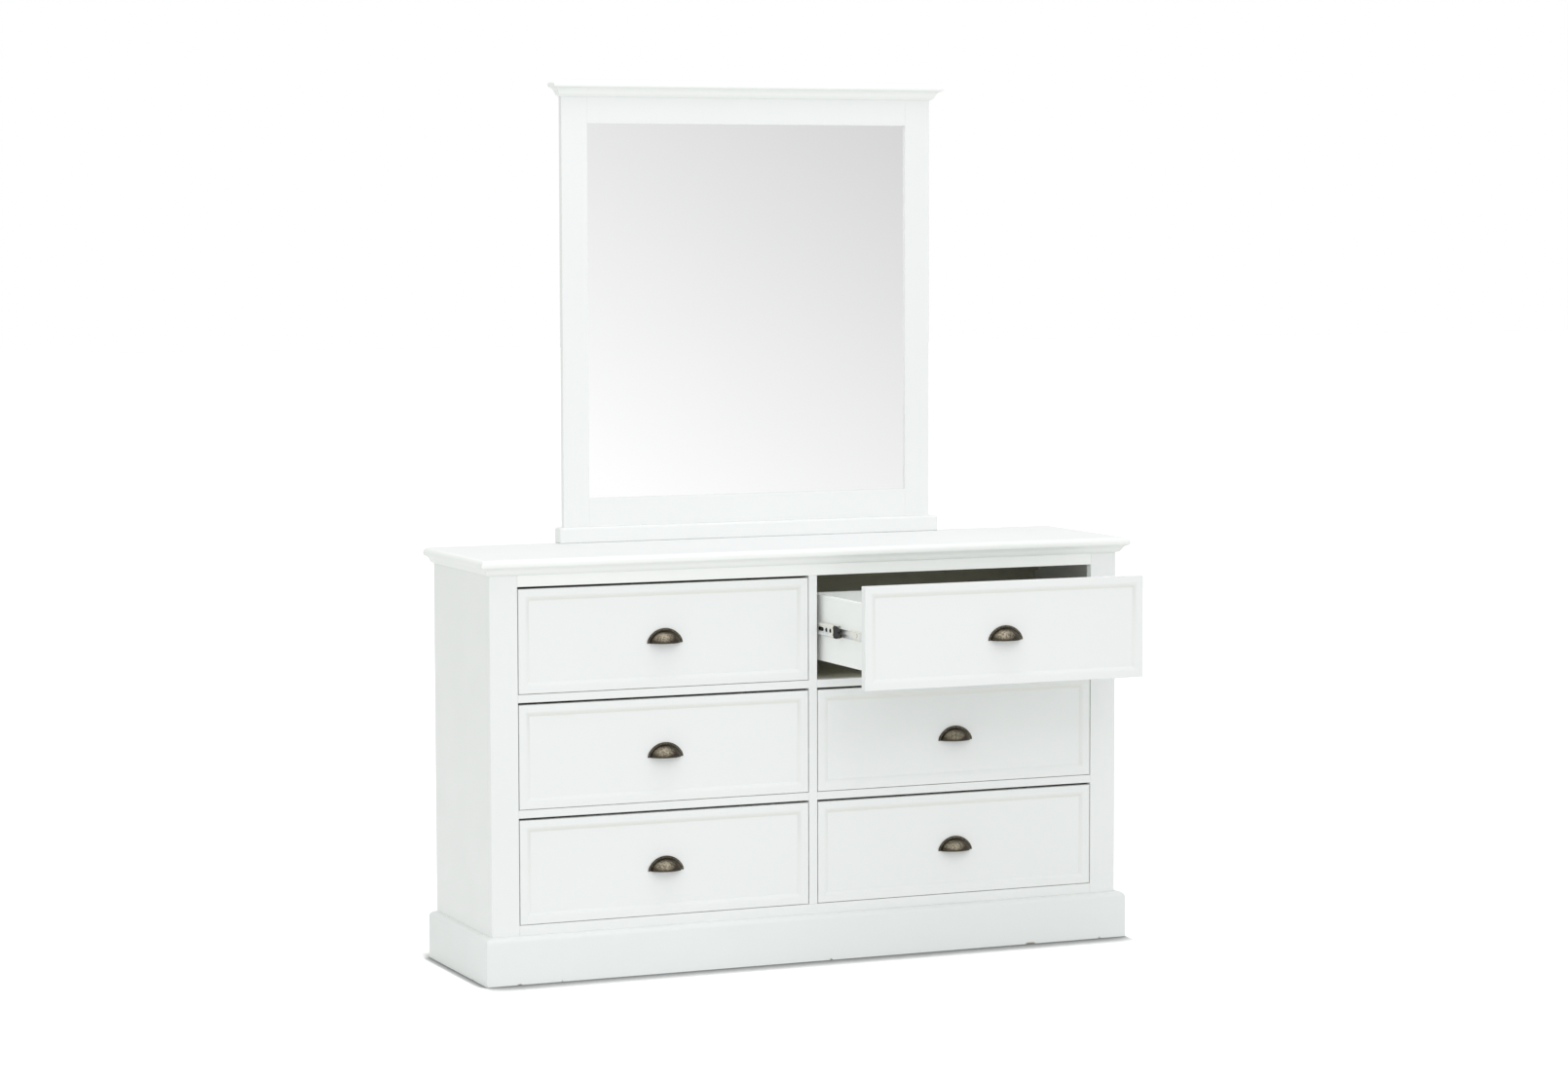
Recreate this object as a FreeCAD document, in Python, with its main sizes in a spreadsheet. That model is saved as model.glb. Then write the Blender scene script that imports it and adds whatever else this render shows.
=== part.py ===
import FreeCAD, Part
import os
import re

import Sketcher

# Six-drawer dresser with a framed mirror standing on its top, in millimetres.
# X runs to the right, Y to the back, Z up. The origin is on the floor, under the middle of the
# plinth's depth and width, on the underside of the centre bearer. The front faces -Y.
# The upper right drawer is modelled part-way out on its telescopic slides; the other five are shut.

doc = FreeCAD.newDocument("DresserWithMirror")
sheet = doc.addObject("Spreadsheet::Sheet", "Sizes")

# ---------------------------------------------------------------- driving dimensions

DRIVING = {
    # carcass and face frame
    "carcass_width": 1450,
    "dresser_height": 884,
    "panel_thickness": 18,
    "stile_width": 61,
    "frame_thickness": 20,
    "stile_corner_radius": 3,
    "centre_stile_width": 19,
    "opening_height": 223.5,
    "drawer_rail_height": 17,
    "bottom_rail_height": 60,
    "bottom_rail_reveal": 21,
    "back_panel_thickness": 6,
    "back_rail_height": 80,
    "dust_panel_thickness": 9,
    # plinth
    "plinth_depth": 380,
    "plinth_height": 100,
    "plinth_thickness": 18,
    "plinth_edge_radius": 12,
    # top board and the ogee moulding under it
    "top_thickness": 18,
    "top_overhang": 24,
    "top_edge_radius": 11,
    "top_under_radius": 5,
    "ogee_lip": 2.5,
    "ogee_slope": 16,
    "ogee_height": 16,
    "ogee_radius": 16,
    # drawer fronts, set into the openings
    "front_thickness": 18,
    "front_side_gap": 1.8,
    "front_bottom_gap": 2,
    "front_top_gap": 5,
    "front_rim": 9,
    "front_bead": 3,
    "front_bead_depth": 1.2,
    "front_slope": 9,
    "front_recess": 4,
    # drawer boxes
    "box_length": 304,
    "box_height": 140,
    "box_lift": 40,
    "box_board": 12,
    "box_bottom_thickness": 5,
    "box_bottom_lift": 8,
    "groove_depth": 5,
    # cup pulls
    "pull_width": 81,
    "pull_height": 29,
    "pull_end_radius": 14,
    "pull_flange_width": 4.5,
    "pull_flange_thickness": 2,
    "pull_wall": 2,
    "pull_lift": 97,
    "pull_lug_spacing": 57,
    "pull_lug_width": 6,
    "pull_lug_length": 7,
    # three-part ball-bearing slides
    "slide_length": 300,
    "slide_thickness": 12.7,
    "slide_setback": 2,
    "slide_lift": 110,
    "slide_steel": 1.2,
    "slide_bend": 2.4,
    "cabinet_member_height": 35,
    "cabinet_member_reach": 8.5,
    "middle_member_height": 28,
    "middle_member_reach": 7.6,
    "middle_member_inset": 4,
    "middle_setback": 4,
    "middle_share": 0.6,
    "drawer_member_height": 20,
    "drawer_member_reach": 6.5,
    "slot_length": 13,
    "slot_height": 8,
    "slot_first": 57,
    "slot_pitch": 20.5,
    "ball_clearance": 0.3,
    "cage_length": 100,
    "cage_width": 3,
    "cage_end": 14,
    "bumper_length": 40,
    "bumper_gap": 0.7,
    "bumper_cap": 3,
    "bumper_notch": 9,
    "packer_height": 60,
    # how far the upper right drawer stands open
    "drawer_opening": 244,
    # mirror frame, glass and backing
    "mirror_width": 870,
    "mirror_top": 1862,
    "mirror_frame_thickness": 16,
    "mirror_stile_width": 59,
    "mirror_rail_height": 76,
    "glass_sill": 979,
    "rebate_depth": 10,
    "rebate_width": 8,
    "glass_thickness": 4,
    "backing_thickness": 5,
    "mirror_base_height": 34,
    "mirror_base_overhang": 15,
    "mirror_base_reach": 18,
    "mirror_base_radius": 6,
    # cornice on the mirror
    "cornice_thickness": 13,
    "cornice_overhang": 25,
    "cornice_edge_radius": 7,
    "cornice_under_radius": 4,
    "crown_lip": 1,
    "crown_slope": 19,
    "crown_height": 20,
    "crown_radius": 20,
    # battens that hold the mirror to the dresser's back
    "support_width": 45,
    "support_thickness": 18,
    "support_bottom": 600,
    "support_length": 620,
}

# Sizes that follow from the driving ones, kept in the same sheet as formulas.
DERIVED = {
    "front_face": "-plinth_depth / 2 + plinth_thickness",
    "back_face": "plinth_depth / 2",
    "carcass_top": "dresser_height - top_thickness",
    "inner_half": "carcass_width / 2 - panel_thickness",
    "opening_half": "carcass_width / 2 - stile_width",
    "opening_width": "opening_half - centre_stile_width / 2",
    "column_centre": "(opening_half + centre_stile_width / 2) / 2",
    "floor_level": "plinth_height + bottom_rail_reveal",
    "opening_pitch": "opening_height + drawer_rail_height",
    "top_rail_bottom": "floor_level + 3 * opening_height + 2 * drawer_rail_height",
    "frame_back": "front_face + frame_thickness",
    "panel_back": "back_face - back_panel_thickness",
    "ogee_reach": "ogee_lip + ogee_slope",
    "crown_reach": "crown_lip + crown_slope",
    "front_width": "opening_width - 2 * front_side_gap",
    "front_height": "opening_height - front_top_gap - front_bottom_gap",
    "box_width": "opening_width - 2 * slide_thickness",
    "pull_projection": "pull_height - pull_flange_width",
    "pull_end_centre": "pull_width / 2 - pull_flange_width - pull_end_radius",
    "pull_crown_radius": "(pull_end_centre ^ 2 + pull_projection ^ 2 - pull_end_radius ^ 2)"
                         " / (2 * (pull_projection - pull_end_radius))",
    "pull_crown_drop": "pull_crown_radius - pull_projection",
    "pull_end_angle": "atan(pull_crown_drop / pull_end_centre) / 1 deg",
    "slide_front": "frame_thickness + slide_setback",
    "mirror_face": "back_face - mirror_frame_thickness",
    "glass_half": "mirror_width / 2 - mirror_stile_width",
    "glass_head": "mirror_top - mirror_rail_height",
    "glass_seat": "back_face - rebate_depth",
}


def fill_sheet():
    """Put every size in the sheet with its alias, the formulas after the plain numbers."""
    for row, (alias, number) in enumerate(DRIVING.items(), start=1):
        sheet.set("A%d" % row, alias)
        sheet.set("B%d" % row, str(number))
        sheet.setAlias("B%d" % row, alias)
    doc.recompute()
    for row, (alias, formula) in enumerate(DERIVED.items(), start=len(DRIVING) + 1):
        sheet.set("A%d" % row, alias)
        sheet.set("B%d" % row, "=" + formula)
        sheet.setAlias("B%d" % row, alias)
        doc.recompute()


def cells(formula):
    """The same formula with the sheet's name before every alias."""
    def named(word):
        alias = word.group()
        return "Sizes." + alias if alias in DRIVING or alias in DERIVED else alias
    return re.sub(r"[a-z_]+", named, formula)


def value(formula):
    """What a formula of aliases comes to, as a plain number."""
    return float(sheet.evalExpression(cells(formula)))


# ---------------------------------------------------------------- helpers

def bind(item, **formulas):
    """Bind an object's properties to formulas of the sheet's aliases."""
    for name, formula in formulas.items():
        item.setExpression(name, cells(formula))
    return item


def place(item, x="0", y="0", z="0"):
    """Bind an object's position to formulas."""
    for axis, formula in zip("xyz", (x, y, z)):
        item.setExpression("Placement.Base." + axis, cells(formula))
    return item


def board(name, length, width, height, x, y, z):
    """A square-edged board, from its lowest corner."""
    box = doc.addObject("Part::Box", name)
    bind(box, Length=length, Width=width, Height=height)
    return place(box, x, y, z)


def cut(name, base, tool):
    result = doc.addObject("Part::Cut", name)
    result.Base = base
    result.Tool = tool
    return result


def fuse(name, *pieces):
    result = doc.addObject("Part::MultiFuse", name)
    result.Shapes = list(pieces)
    return result


def group(name, *pieces):
    """Separate solids that share one name and one placement."""
    result = doc.addObject("Part::Compound", name)
    result.Links = list(pieces)
    return result


def mirrored(name, piece):
    """The same piece on the other side of X = 0."""
    result = doc.addObject("Part::Mirroring", name)
    result.Source = piece
    result.Normal = FreeCAD.Vector(1, 0, 0)
    return result


def origin_plane(body, role):
    return next(item for item in body.Origin.OriginFeatures if item.Role == role)


def arc_through(start, end, radius, turn):
    """The short arc from start to end; turn is 1 anticlockwise and -1 clockwise."""
    chord = end - start
    left = FreeCAD.Vector(-chord.y, chord.x, 0).normalize()
    rise = max(radius ** 2 - (chord.Length / 2) ** 2, 0) ** 0.5
    centre = (start + end) / 2 + left * rise * turn
    first, last = (start, end) if turn > 0 else (end, start)
    across = FreeCAD.Vector(1, 0, 0)
    angles = [across.getAngle(point - centre) * (1 if point.y >= centre.y else -1) for point in (first, last)]
    circle = Part.Circle(centre, FreeCAD.Vector(0, 0, 1), radius)
    return Part.ArcOfCircle(circle, angles[0], angles[1])


def outline(body, name, plane, points, arcs=None, offset="0"):
    """A closed sketch. points are pairs of formulas, and arcs gives a side's radius and turn."""
    arcs = arcs or {}
    sketch = body.newObject("Sketcher::SketchObject", name)
    sketch.AttachmentSupport = (origin_plane(body, plane), [""])
    sketch.MapMode = "FlatFace"
    sketch.setExpression("AttachmentOffset.Base.z", cells(offset))
    corners = [FreeCAD.Vector(value(u), value(v), 0) for u, v in points]
    ends = []
    for side, start in enumerate(corners):
        end = corners[(side + 1) % len(corners)]
        if side in arcs:
            radius, turn = arcs[side]
            sketch.addGeometry(arc_through(start, end, value(radius), turn), False)
            ends.append((1, 2) if turn > 0 else (2, 1))
        else:
            sketch.addGeometry(Part.LineSegment(start, end), False)
            ends.append((1, 2))
    for side, (first, last) in enumerate(ends):
        following = (side + 1) % len(corners)
        sketch.addConstraint(Sketcher.Constraint("Coincident", side, last, following, ends[following][0]))
        for direction, formula in zip(("DistanceX", "DistanceY"), points[side]):
            number = sketch.addConstraint(
                Sketcher.Constraint(direction, -1, 1, side, first, value(formula)))
            sketch.setExpression("Constraints[%d]" % number, cells(formula))
    for side, (radius, _) in arcs.items():
        number = sketch.addConstraint(Sketcher.Constraint("Radius", side, value(radius)))
        sketch.setExpression("Constraints[%d]" % number, cells(radius))
    return sketch


def pad(body, name, sketch, length, symmetric=False):
    feature = body.newObject("PartDesign::Pad", name)
    feature.Profile = sketch
    feature.SideType = "Symmetric" if symmetric else "One side"
    bind(feature, Length=length)
    doc.recompute()
    return feature


def pocket(body, name, sketch, length):
    """A pocket cut to both sides of its sketch, length in all."""
    before = body.Shape.Volume
    feature = body.newObject("PartDesign::Pocket", name)
    feature.Profile = sketch
    feature.SideType = "Symmetric"
    bind(feature, Length=length)
    doc.recompute()
    if not body.Shape.Volume < before:
        raise RuntimeError(name + " cuts nothing")
    return feature


def fillet(body, name, radius, chosen):
    """Round the edges of the body's tip for which chosen(edge) is true."""
    base = body.Tip
    edges = ["Edge%d" % number for number, edge in enumerate(base.Shape.Edges, start=1) if chosen(edge)]
    feature = body.newObject("PartDesign::Fillet", name)
    feature.Base = (base, edges)
    bind(feature, Radius=radius)
    doc.recompute()
    return feature


# ---------------------------------------------------------------- boards with worked edges

def rounded_board(name, half_width, front, back, bottom, thickness, upper, under=None):
    """A board whose front and end edges are rounded, above and, where given, below."""
    body = doc.addObject("PartDesign::Body", name)
    plan = outline(body, name + "_plan", "XY_Plane", [
        ("-(%s)" % half_width, front), (half_width, front),
        (half_width, back), ("-(%s)" % half_width, back)], offset=bottom)
    pad(body, name + "_pad", plan, thickness)
    rear, low = value(back), value(bottom)
    high = low + value(thickness)

    def at_level(level):
        def chosen(edge):
            box = edge.BoundBox
            flat = abs(box.ZMin - level) < 0.01 and abs(box.ZMax - level) < 0.01
            return flat and box.YMin < rear - 0.01
        return chosen

    fillet(body, name + "_upper_edge", upper, at_level(high))
    if under:
        fillet(body, name + "_under_edge", under, at_level(low))
    return body


def moulding(name, profile, arcs, half, front, back, reach, height):
    """A profile run round the front and both sides, in three pieces mitred at the corners.

    profile gives pairs of outward distance and height, and half and front say where its back lies.
    """
    turned = {side: (radius, -turn) for side, (radius, turn) in arcs.items()}
    across = doc.addObject("PartDesign::Body", name + "_front_run")
    section = outline(across, name + "_front_section", "YZ_Plane",
                      [("%s - (%s)" % (front, out), up) for out, up in profile], turned)
    pad(across, name + "_front_pad", section, "2 * (%s + %s)" % (half, reach), symmetric=True)
    for side, sign in (("left", "-"), ("right", "")):
        tip = "%s(%s + %s)" % (sign, half, reach)
        corner = "%s(%s)" % (sign, half)
        mitre = outline(across, "%s_front_mitre_%s" % (name, side), "XY_Plane", [
            (tip, "%s - %s" % (front, reach)), (tip, front), (corner, front)])
        pocket(across, "%s_front_cut_%s" % (name, side), mitre, height)
    along = doc.addObject("PartDesign::Body", name + "_left_run")
    section = outline(along, name + "_left_section", "XZ_Plane",
                      [("-(%s) - (%s)" % (half, out), up) for out, up in profile],
                      turned, offset="-(%s)" % back)
    pad(along, name + "_left_pad", section, "%s - (%s) + %s" % (back, front, reach))
    mitre = outline(along, name + "_left_mitre", "XY_Plane", [
        ("-(%s + %s)" % (half, reach), "%s - %s" % (front, reach)),
        ("-(%s)" % half, "%s - %s" % (front, reach)), ("-(%s)" % half, front)])
    pocket(along, name + "_left_cut", mitre, height)
    return across, along, mirrored(name + "_right_run", along)


def ogee(prefix, bottom):
    """A moulding's section: a lip, then a slope that is rounded below its middle and hollow above."""
    lip, radius = prefix + "_lip", prefix + "_radius"
    profile = [("0", bottom), (lip, bottom),
               ("%s + %s_slope / 2" % (lip, prefix), "%s + %s_height / 2" % (bottom, prefix)),
               (prefix + "_reach", "%s + %s_height" % (bottom, prefix)),
               ("0", "%s + %s_height" % (bottom, prefix))]
    return profile, {1: (radius, 1), 2: (radius, -1)}


# ---------------------------------------------------------------- dresser carcass

def side_panels():
    depth = "back_face - frame_back"
    for side, edge in (("left", "-carcass_width / 2"), ("right", "inner_half")):
        yield board("side_panel_" + side, "panel_thickness", depth, "carcass_top", edge, "frame_back", "0")


def front_stiles():
    """Face-frame stiles whose outer corner is rounded from floor to top."""
    left = doc.addObject("PartDesign::Body", "front_stile_left")
    edge = "-carcass_width / 2"
    plan = outline(left, "stile_plan", "XY_Plane", [
        (edge + " + stile_corner_radius", "front_face"), ("-opening_half", "front_face"),
        ("-opening_half", "frame_back"), (edge, "frame_back"),
        (edge, "front_face + stile_corner_radius")], {4: ("stile_corner_radius", 1)})
    pad(left, "stile_pad", plan, "carcass_top")
    return left, mirrored("front_stile_right", left)


def face_rails():
    """The rails between the stiles, and the stile that stands between the two columns."""
    full = "2 * opening_half"
    yield board("top_rail", full, "frame_thickness", "carcass_top - top_rail_bottom",
                "-opening_half", "front_face", "top_rail_bottom")
    yield board("bottom_rail", full, "frame_thickness", "bottom_rail_height",
                "-opening_half", "front_face", "floor_level - bottom_rail_height")
    yield board("centre_stile", "centre_stile_width", "frame_thickness", "top_rail_bottom - floor_level",
                "-centre_stile_width / 2", "front_face", "floor_level")
    rails = []
    for column, edge in (("left", "-opening_half"), ("right", "centre_stile_width / 2")):
        for level in (1, 2):
            under = "floor_level + %d * opening_pitch - drawer_rail_height" % level
            rails.append(board("drawer_rail_%s_%d" % (column, level), "opening_width", "frame_thickness",
                               "drawer_rail_height", edge, "front_face", under))
    yield group("drawer_rails", *rails)


def inner_panels():
    """The partition, bottom, back, and the thin panels that close each drawer bay from the next."""
    depth = "panel_back - frame_back"
    yield board("centre_partition", "centre_stile_width", depth, "carcass_top - floor_level",
                "-centre_stile_width / 2", "frame_back", "floor_level")
    yield board("bottom_panel", "2 * inner_half", depth, "panel_thickness",
                "-inner_half", "frame_back", "floor_level - panel_thickness")
    yield board("back_panel", "2 * inner_half", "back_panel_thickness",
                "carcass_top - floor_level + panel_thickness", "-inner_half", "panel_back",
                "floor_level - panel_thickness")
    bay = "inner_half - centre_stile_width / 2"
    panels, rails = [], []
    for column, edge in (("left", "-inner_half"), ("right", "centre_stile_width / 2")):
        rails.append(board("back_rail_" + column, bay, "panel_thickness", "back_rail_height",
                           edge, "panel_back - panel_thickness", "carcass_top - back_rail_height"))
        for level in (1, 2):
            under = "floor_level + %d * opening_pitch - dust_panel_thickness" % level
            panels.append(board("dust_panel_%s_%d" % (column, level), bay, depth,
                                "dust_panel_thickness", edge, "frame_back", under))
    yield group("dust_panels", *panels)
    yield group("back_rails", *rails)


def plinth():
    """Boards that wrap the foot of the carcass, their top edge rounded, and the bearers inside."""
    rounded = "plinth_thickness - plinth_edge_radius"
    profile = [("0", "0"), ("plinth_thickness", "0"),
               ("plinth_thickness", "plinth_height - plinth_edge_radius"),
               (rounded, "plinth_height"), ("0", "plinth_height")]
    front, left, right = moulding("plinth", profile, {2: ("plinth_edge_radius", 1)}, "carcass_width / 2",
                                  "front_face", "back_face", "plinth_thickness", "3 * plinth_height")
    front.Label = "plinth_front"
    left.Label = "plinth_side_left"
    right.Label = "plinth_side_right"
    under = "floor_level - panel_thickness"
    rear = board("plinth_back", "2 * inner_half", "panel_thickness", under,
                 "-inner_half", "panel_back - panel_thickness", "0")
    centre = board("plinth_centre", "panel_thickness", "panel_back - panel_thickness - frame_back", under,
                   "-panel_thickness / 2", "frame_back", "0")
    return front, left, right, group("plinth_bearers", rear, centre)


def dresser_top():
    yield rounded_board("top_board", "carcass_width / 2 + top_overhang", "front_face - top_overhang",
                        "back_face", "carcass_top", "top_thickness", "top_edge_radius",
                        "top_under_radius")
    profile, arcs = ogee("ogee", "carcass_top - ogee_height")
    runs = moulding("top_ogee", profile, arcs, "carcass_width / 2", "front_face", "back_face",
                    "ogee_reach", "3 * dresser_height")
    yield group("top_moulding", *runs)


# ---------------------------------------------------------------- drawers
# Each drawer is drawn once about its own middle: X = 0 on its centre line, Y = 0 on the carcass front
# and Z = 0 on the floor of its opening. Every drawer then places the same pieces in its own opening.

def drawer_front():
    """A flush front: a raised rim, a bead, and a slope down to a flat panel."""
    body = doc.addObject("PartDesign::Body", "front_master")
    low = "front_bottom_gap"
    high = "front_bottom_gap + front_height"

    def rectangle(name, inset, depth):
        half = "(front_width / 2 - (%s))" % inset
        return outline(body, name, "XZ_Plane", [
            ("-" + half, "%s + %s" % (low, inset)), (half, "%s + %s" % (low, inset)),
            (half, "%s - (%s)" % (high, inset)), ("-" + half, "%s - (%s)" % (high, inset))],
            offset="-(%s)" % depth)

    blank = rectangle("front_outline", "0", "front_thickness")
    pad(body, "front_blank", blank, "front_thickness")
    rim = rectangle("front_rim_edge", "front_rim", "0")
    bead = rectangle("front_bead_edge", "front_rim + front_bead", "front_bead_depth")
    panel = rectangle("front_panel_edge", "front_rim + front_bead + front_slope", "front_recess")
    sunk = body.newObject("PartDesign::SubtractiveLoft", "front_sunk_panel")
    sunk.Profile = rim
    sunk.Sections = [bead, panel]
    sunk.Ruled = True
    doc.recompute()
    return body


def drawer_box():
    """Two grooved sides, a back, and a thin bottom held in the grooves."""
    under = "box_lift + box_bottom_lift"
    bottom_width = "box_width - 2 * (box_board - groove_depth)"
    bottom = board("box_bottom", bottom_width, "box_length", "box_bottom_thickness",
                   "-(%s) / 2" % bottom_width, "front_thickness", under)
    sides = []
    for side, edge in (("left", "-box_width / 2"), ("right", "box_width / 2 - box_board")):
        plain = board("box_side_plain_" + side, "box_board", "box_length", "box_height",
                      edge, "front_thickness", "box_lift")
        sides.append(cut("box_side_" + side, plain, bottom))
    back = board("box_back", "box_width - 2 * box_board", "box_board",
                 "box_height - box_bottom_lift - box_bottom_thickness", "-box_width / 2 + box_board",
                 "front_thickness + box_length - box_board", under + " + box_bottom_thickness")
    return sides + [back, bottom]


def cup_pull():
    """A hooded bin pull: a dome on a flat rim, hollow behind and open below, with two lugs inside.

    X = 0 is its middle, Y = 0 its back and Z = 0 its lower edge. The dome is lofted through copies of
    its outline that shrink as they stand further out, and the hollow is the same dome less its wall.
    """
    body = doc.addObject("PartDesign::Body", "pull_cast")

    def slice_of(name, grown, flats, turned):
        """The outline in short flats, grown by one amount, where the dome has turned by so many degrees."""
        end = "(pull_end_radius + %s)" % grown
        crown = "(pull_crown_radius + %s)" % grown
        shrunk = "cos(%g) * " % turned
        points = []
        for number in range(flats):
            turn = "(pull_end_angle * %g)" % (number / flats)
            points.append(("(pull_end_centre + %s * cos(%s))" % (end, turn), "%s * sin(%s)" % (end, turn)))
        for number in range(flats):
            turn = "(pull_end_angle + (90 - pull_end_angle) * %g)" % (number / flats)
            points.append(("(%s * cos(%s))" % (crown, turn),
                           "(%s * sin(%s) - pull_crown_drop)" % (crown, turn)))
        top = ("0", "(pull_projection + %s)" % grown)
        left = [("-" + across, up) for across, up in points]
        corners = [(("-" + shrunk + u[1:]) if u[0] == "-" else shrunk + u, shrunk + v)
                   for u, v in left + [top] + points[::-1]]
        return outline(body, name, "XZ_Plane", corners,
                       offset="sin(%g) * (pull_projection + %s)" % (turned, grown))

    def dome(kind, name, grown, flats, turns):
        sections = [slice_of("%s_%d" % (name, turned), grown, flats, turned) for turned in turns]
        feature = body.newObject("PartDesign::" + kind, name)
        feature.Profile = sections[0]
        feature.Sections = sections[1:]
        feature.Ruled = True
        doc.recompute()

    dome("AdditiveLoft", "pull_hood", "0", 4, (0, 15, 30, 45, 60, 72, 82))
    pad(body, "pull_flange", slice_of("pull_flange_outline", "pull_flange_width", 4, 0),
        "pull_flange_thickness")
    dome("SubtractiveLoft", "pull_hollow", "(-pull_wall)", 3, (0, 20, 40, 60, 78))
    for side, sign in (("left", "-"), ("right", "")):
        inner = "%s(pull_lug_spacing / 2 - pull_lug_width / 2)" % sign
        outer = "%s(pull_lug_spacing / 2 + pull_lug_width / 2)" % sign
        lug = outline(body, "pull_lug_outline_" + side, "XZ_Plane", [
            (inner, "0"), (outer, "0"), (outer, "pull_lug_width"), (inner, "pull_lug_width")])
        pad(body, "pull_lug_" + side, lug, "pull_lug_length")
    return body


def channel(name, web, reach, height, front, length, opens):
    """A folded steel channel that runs back from front. Its web's outer face is at X = web.

    opens is "" where its flanges point to +X and "-" where they point to -X.
    """
    body = doc.addObject("PartDesign::Body", name)
    tip = "%s + %s(%s)" % (web, opens, reach)
    bend = "%s + %sslide_bend" % (web, opens)
    inner = "%s + %sslide_steel" % (web, opens)
    top, shoulder = "%s / 2" % height, "%s / 2 - slide_bend" % height
    under = "%s / 2 - slide_steel" % height
    upper = [(inner, shoulder), (bend, under), (tip, under), (tip, top), (bend, top), (web, shoulder)]
    lower = [(across, "-(%s)" % up) for across, up in upper[::-1]]
    section = outline(body, name + "_section", "XZ_Plane", upper + lower, offset="-(%s + %s)" % (front, length))
    pad(body, name + "_pad", section, length)
    return body


def cabinet_member():
    """The outer channel, screwed to the carcass. X is counted here from the wall it lies on."""
    return channel("cabinet_channel", "0", "cabinet_member_reach", "cabinet_member_height",
                   "slide_front", "slide_length", "")


def drawer_member():
    """The inner channel, screwed to the drawer's side, its flanges towards the wall."""
    return channel("drawer_channel", "slide_thickness", "drawer_member_reach", "drawer_member_height",
                   "slide_front", "slide_length", "-")


def middle_member():
    """The middle channel with two slots, its four ball cages and its black front bumper."""
    front = "slide_front + middle_setback"
    length = "slide_length - middle_setback"
    body = channel("middle_channel", "middle_member_inset", "middle_member_reach", "middle_member_height",
                   front, length, "")
    for number in (0, 1):
        start = "%s + slot_first + %d * slot_pitch" % (front, number)
        slot = outline(body, "middle_slot_%d" % number, "YZ_Plane", [
            (start, "-slot_height / 2"), (start + " + slot_length", "-slot_height / 2"),
            (start + " + slot_length", "slot_height / 2"), (start, "slot_height / 2")])
        pocket(body, "middle_slot_cut_%d" % number, slot, "2 * slide_thickness")
    outer_gap = "(cabinet_member_height - middle_member_height) / 2 - slide_steel - ball_clearance"
    inner_gap = "(middle_member_height - drawer_member_height) / 2 - slide_steel - ball_clearance"
    outer_from = "middle_member_height / 2"
    inner_from = "drawer_member_height / 2 + ball_clearance"
    outer_edge = "cabinet_member_reach - cage_width - ball_clearance"
    inner_edge = "middle_member_inset + middle_member_reach - cage_width - slide_steel"
    cages = []
    for name, gap, base, edge, start in (
            ("outer", outer_gap, outer_from, outer_edge, "slide_front + slide_length - cage_end - cage_length"),
            ("inner", inner_gap, inner_from, inner_edge, front + " + cage_end + bumper_length / 2")):
        cages.append(board("cage_%s_upper" % name, "cage_width", "cage_length", gap, edge, start, base))
        cages.append(board("cage_%s_lower" % name, "cage_width", "cage_length", gap, edge, start,
                           "-(%s) - (%s)" % (base, gap)))
    inset = "slide_steel + bumper_gap"
    plate = board("bumper_plate", "middle_member_inset - (%s)" % inset, "bumper_length",
                  "middle_member_height - slide_steel", inset, front,
                  "-(middle_member_height - slide_steel) / 2")
    notch = board("bumper_notch_tool", "middle_member_inset", "bumper_notch", "slot_height",
                  "0", front + " + bumper_length - bumper_notch", "-slot_height / 2")
    cap = board("bumper_cap_plain", "middle_member_inset + middle_member_reach - (%s)" % inset, "bumper_cap",
                "middle_member_height", inset, front + " - bumper_cap", "-middle_member_height / 2")
    window_height = "drawer_member_height + 2 * ball_clearance"
    window = board("bumper_window", "slide_thickness", "2 * bumper_cap", window_height,
                   "slide_thickness - drawer_member_reach - ball_clearance",
                   front + " - 1.5 * bumper_cap", "-(%s) / 2" % window_height)
    bumper = fuse("bumper", cut("bumper_plate_notched", plate, notch), cut("bumper_cap", cap, window))
    return [body, bumper] + cages


def slide_pair(name, pieces):
    """The same slide pieces at both walls of an opening, the right ones mirrored."""
    left = group(name + "_left_wall", *pieces)
    place(left, "-opening_width / 2", "0", "slide_lift")
    return group(name, left, mirrored(name + "_right_wall", left))


COLUMNS = {"left": "-column_centre", "right": "column_centre"}
ROWS = {"lower": 0, "middle": 1, "upper": 2}
OPEN_DRAWER = "upper_right"


def drawers():
    """Six drawers, each placing the shared pieces in its opening, and the fixed slide members."""
    front = drawer_front()
    box = drawer_box()
    pull = cup_pull()
    outer = slide_pair("cabinet_members", [cabinet_member()])
    inner = slide_pair("drawer_members", [drawer_member()])
    middle = slide_pair("middle_members", middle_member())
    fixed = []
    for row, level in ROWS.items():
        for column, centre in COLUMNS.items():
            where = row + "_" + column
            opened = "drawer_opening" if where == OPEN_DRAWER else "0"
            floor = "floor_level + %d * opening_pitch" % level
            moved = "front_face - " + opened
            yield place(group("drawer_front_" + where, front), centre, moved, floor)
            yield place(group("drawer_box_" + where, *box), centre, moved, floor)
            yield place(group("cup_pull_" + where, pull), centre,
                        moved + " + front_recess", floor + " + pull_lift")
            yield place(group("slide_drawer_members_" + where, inner), centre, moved, floor)
            yield place(group("slide_middle_members_" + where, middle), centre,
                        "front_face - middle_share * %s" % opened, floor)
            fixed.append(place(group("cabinet_members_" + where, outer), centre, "front_face", floor))
    yield group("slide_cabinet_members", *fixed)
    packers = []
    for row, level in ROWS.items():
        centre_line = "floor_level + %d * opening_pitch + slide_lift" % level
        for column, edge in (("left", "-inner_half"), ("right", "opening_half")):
            packers.append(board("slide_packer_%s_%s" % (row, column), "stile_width - panel_thickness",
                                 "panel_back - frame_back", "packer_height", edge, "frame_back",
                                 centre_line + " - packer_height / 2"))
    yield group("slide_packers", *packers)


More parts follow.
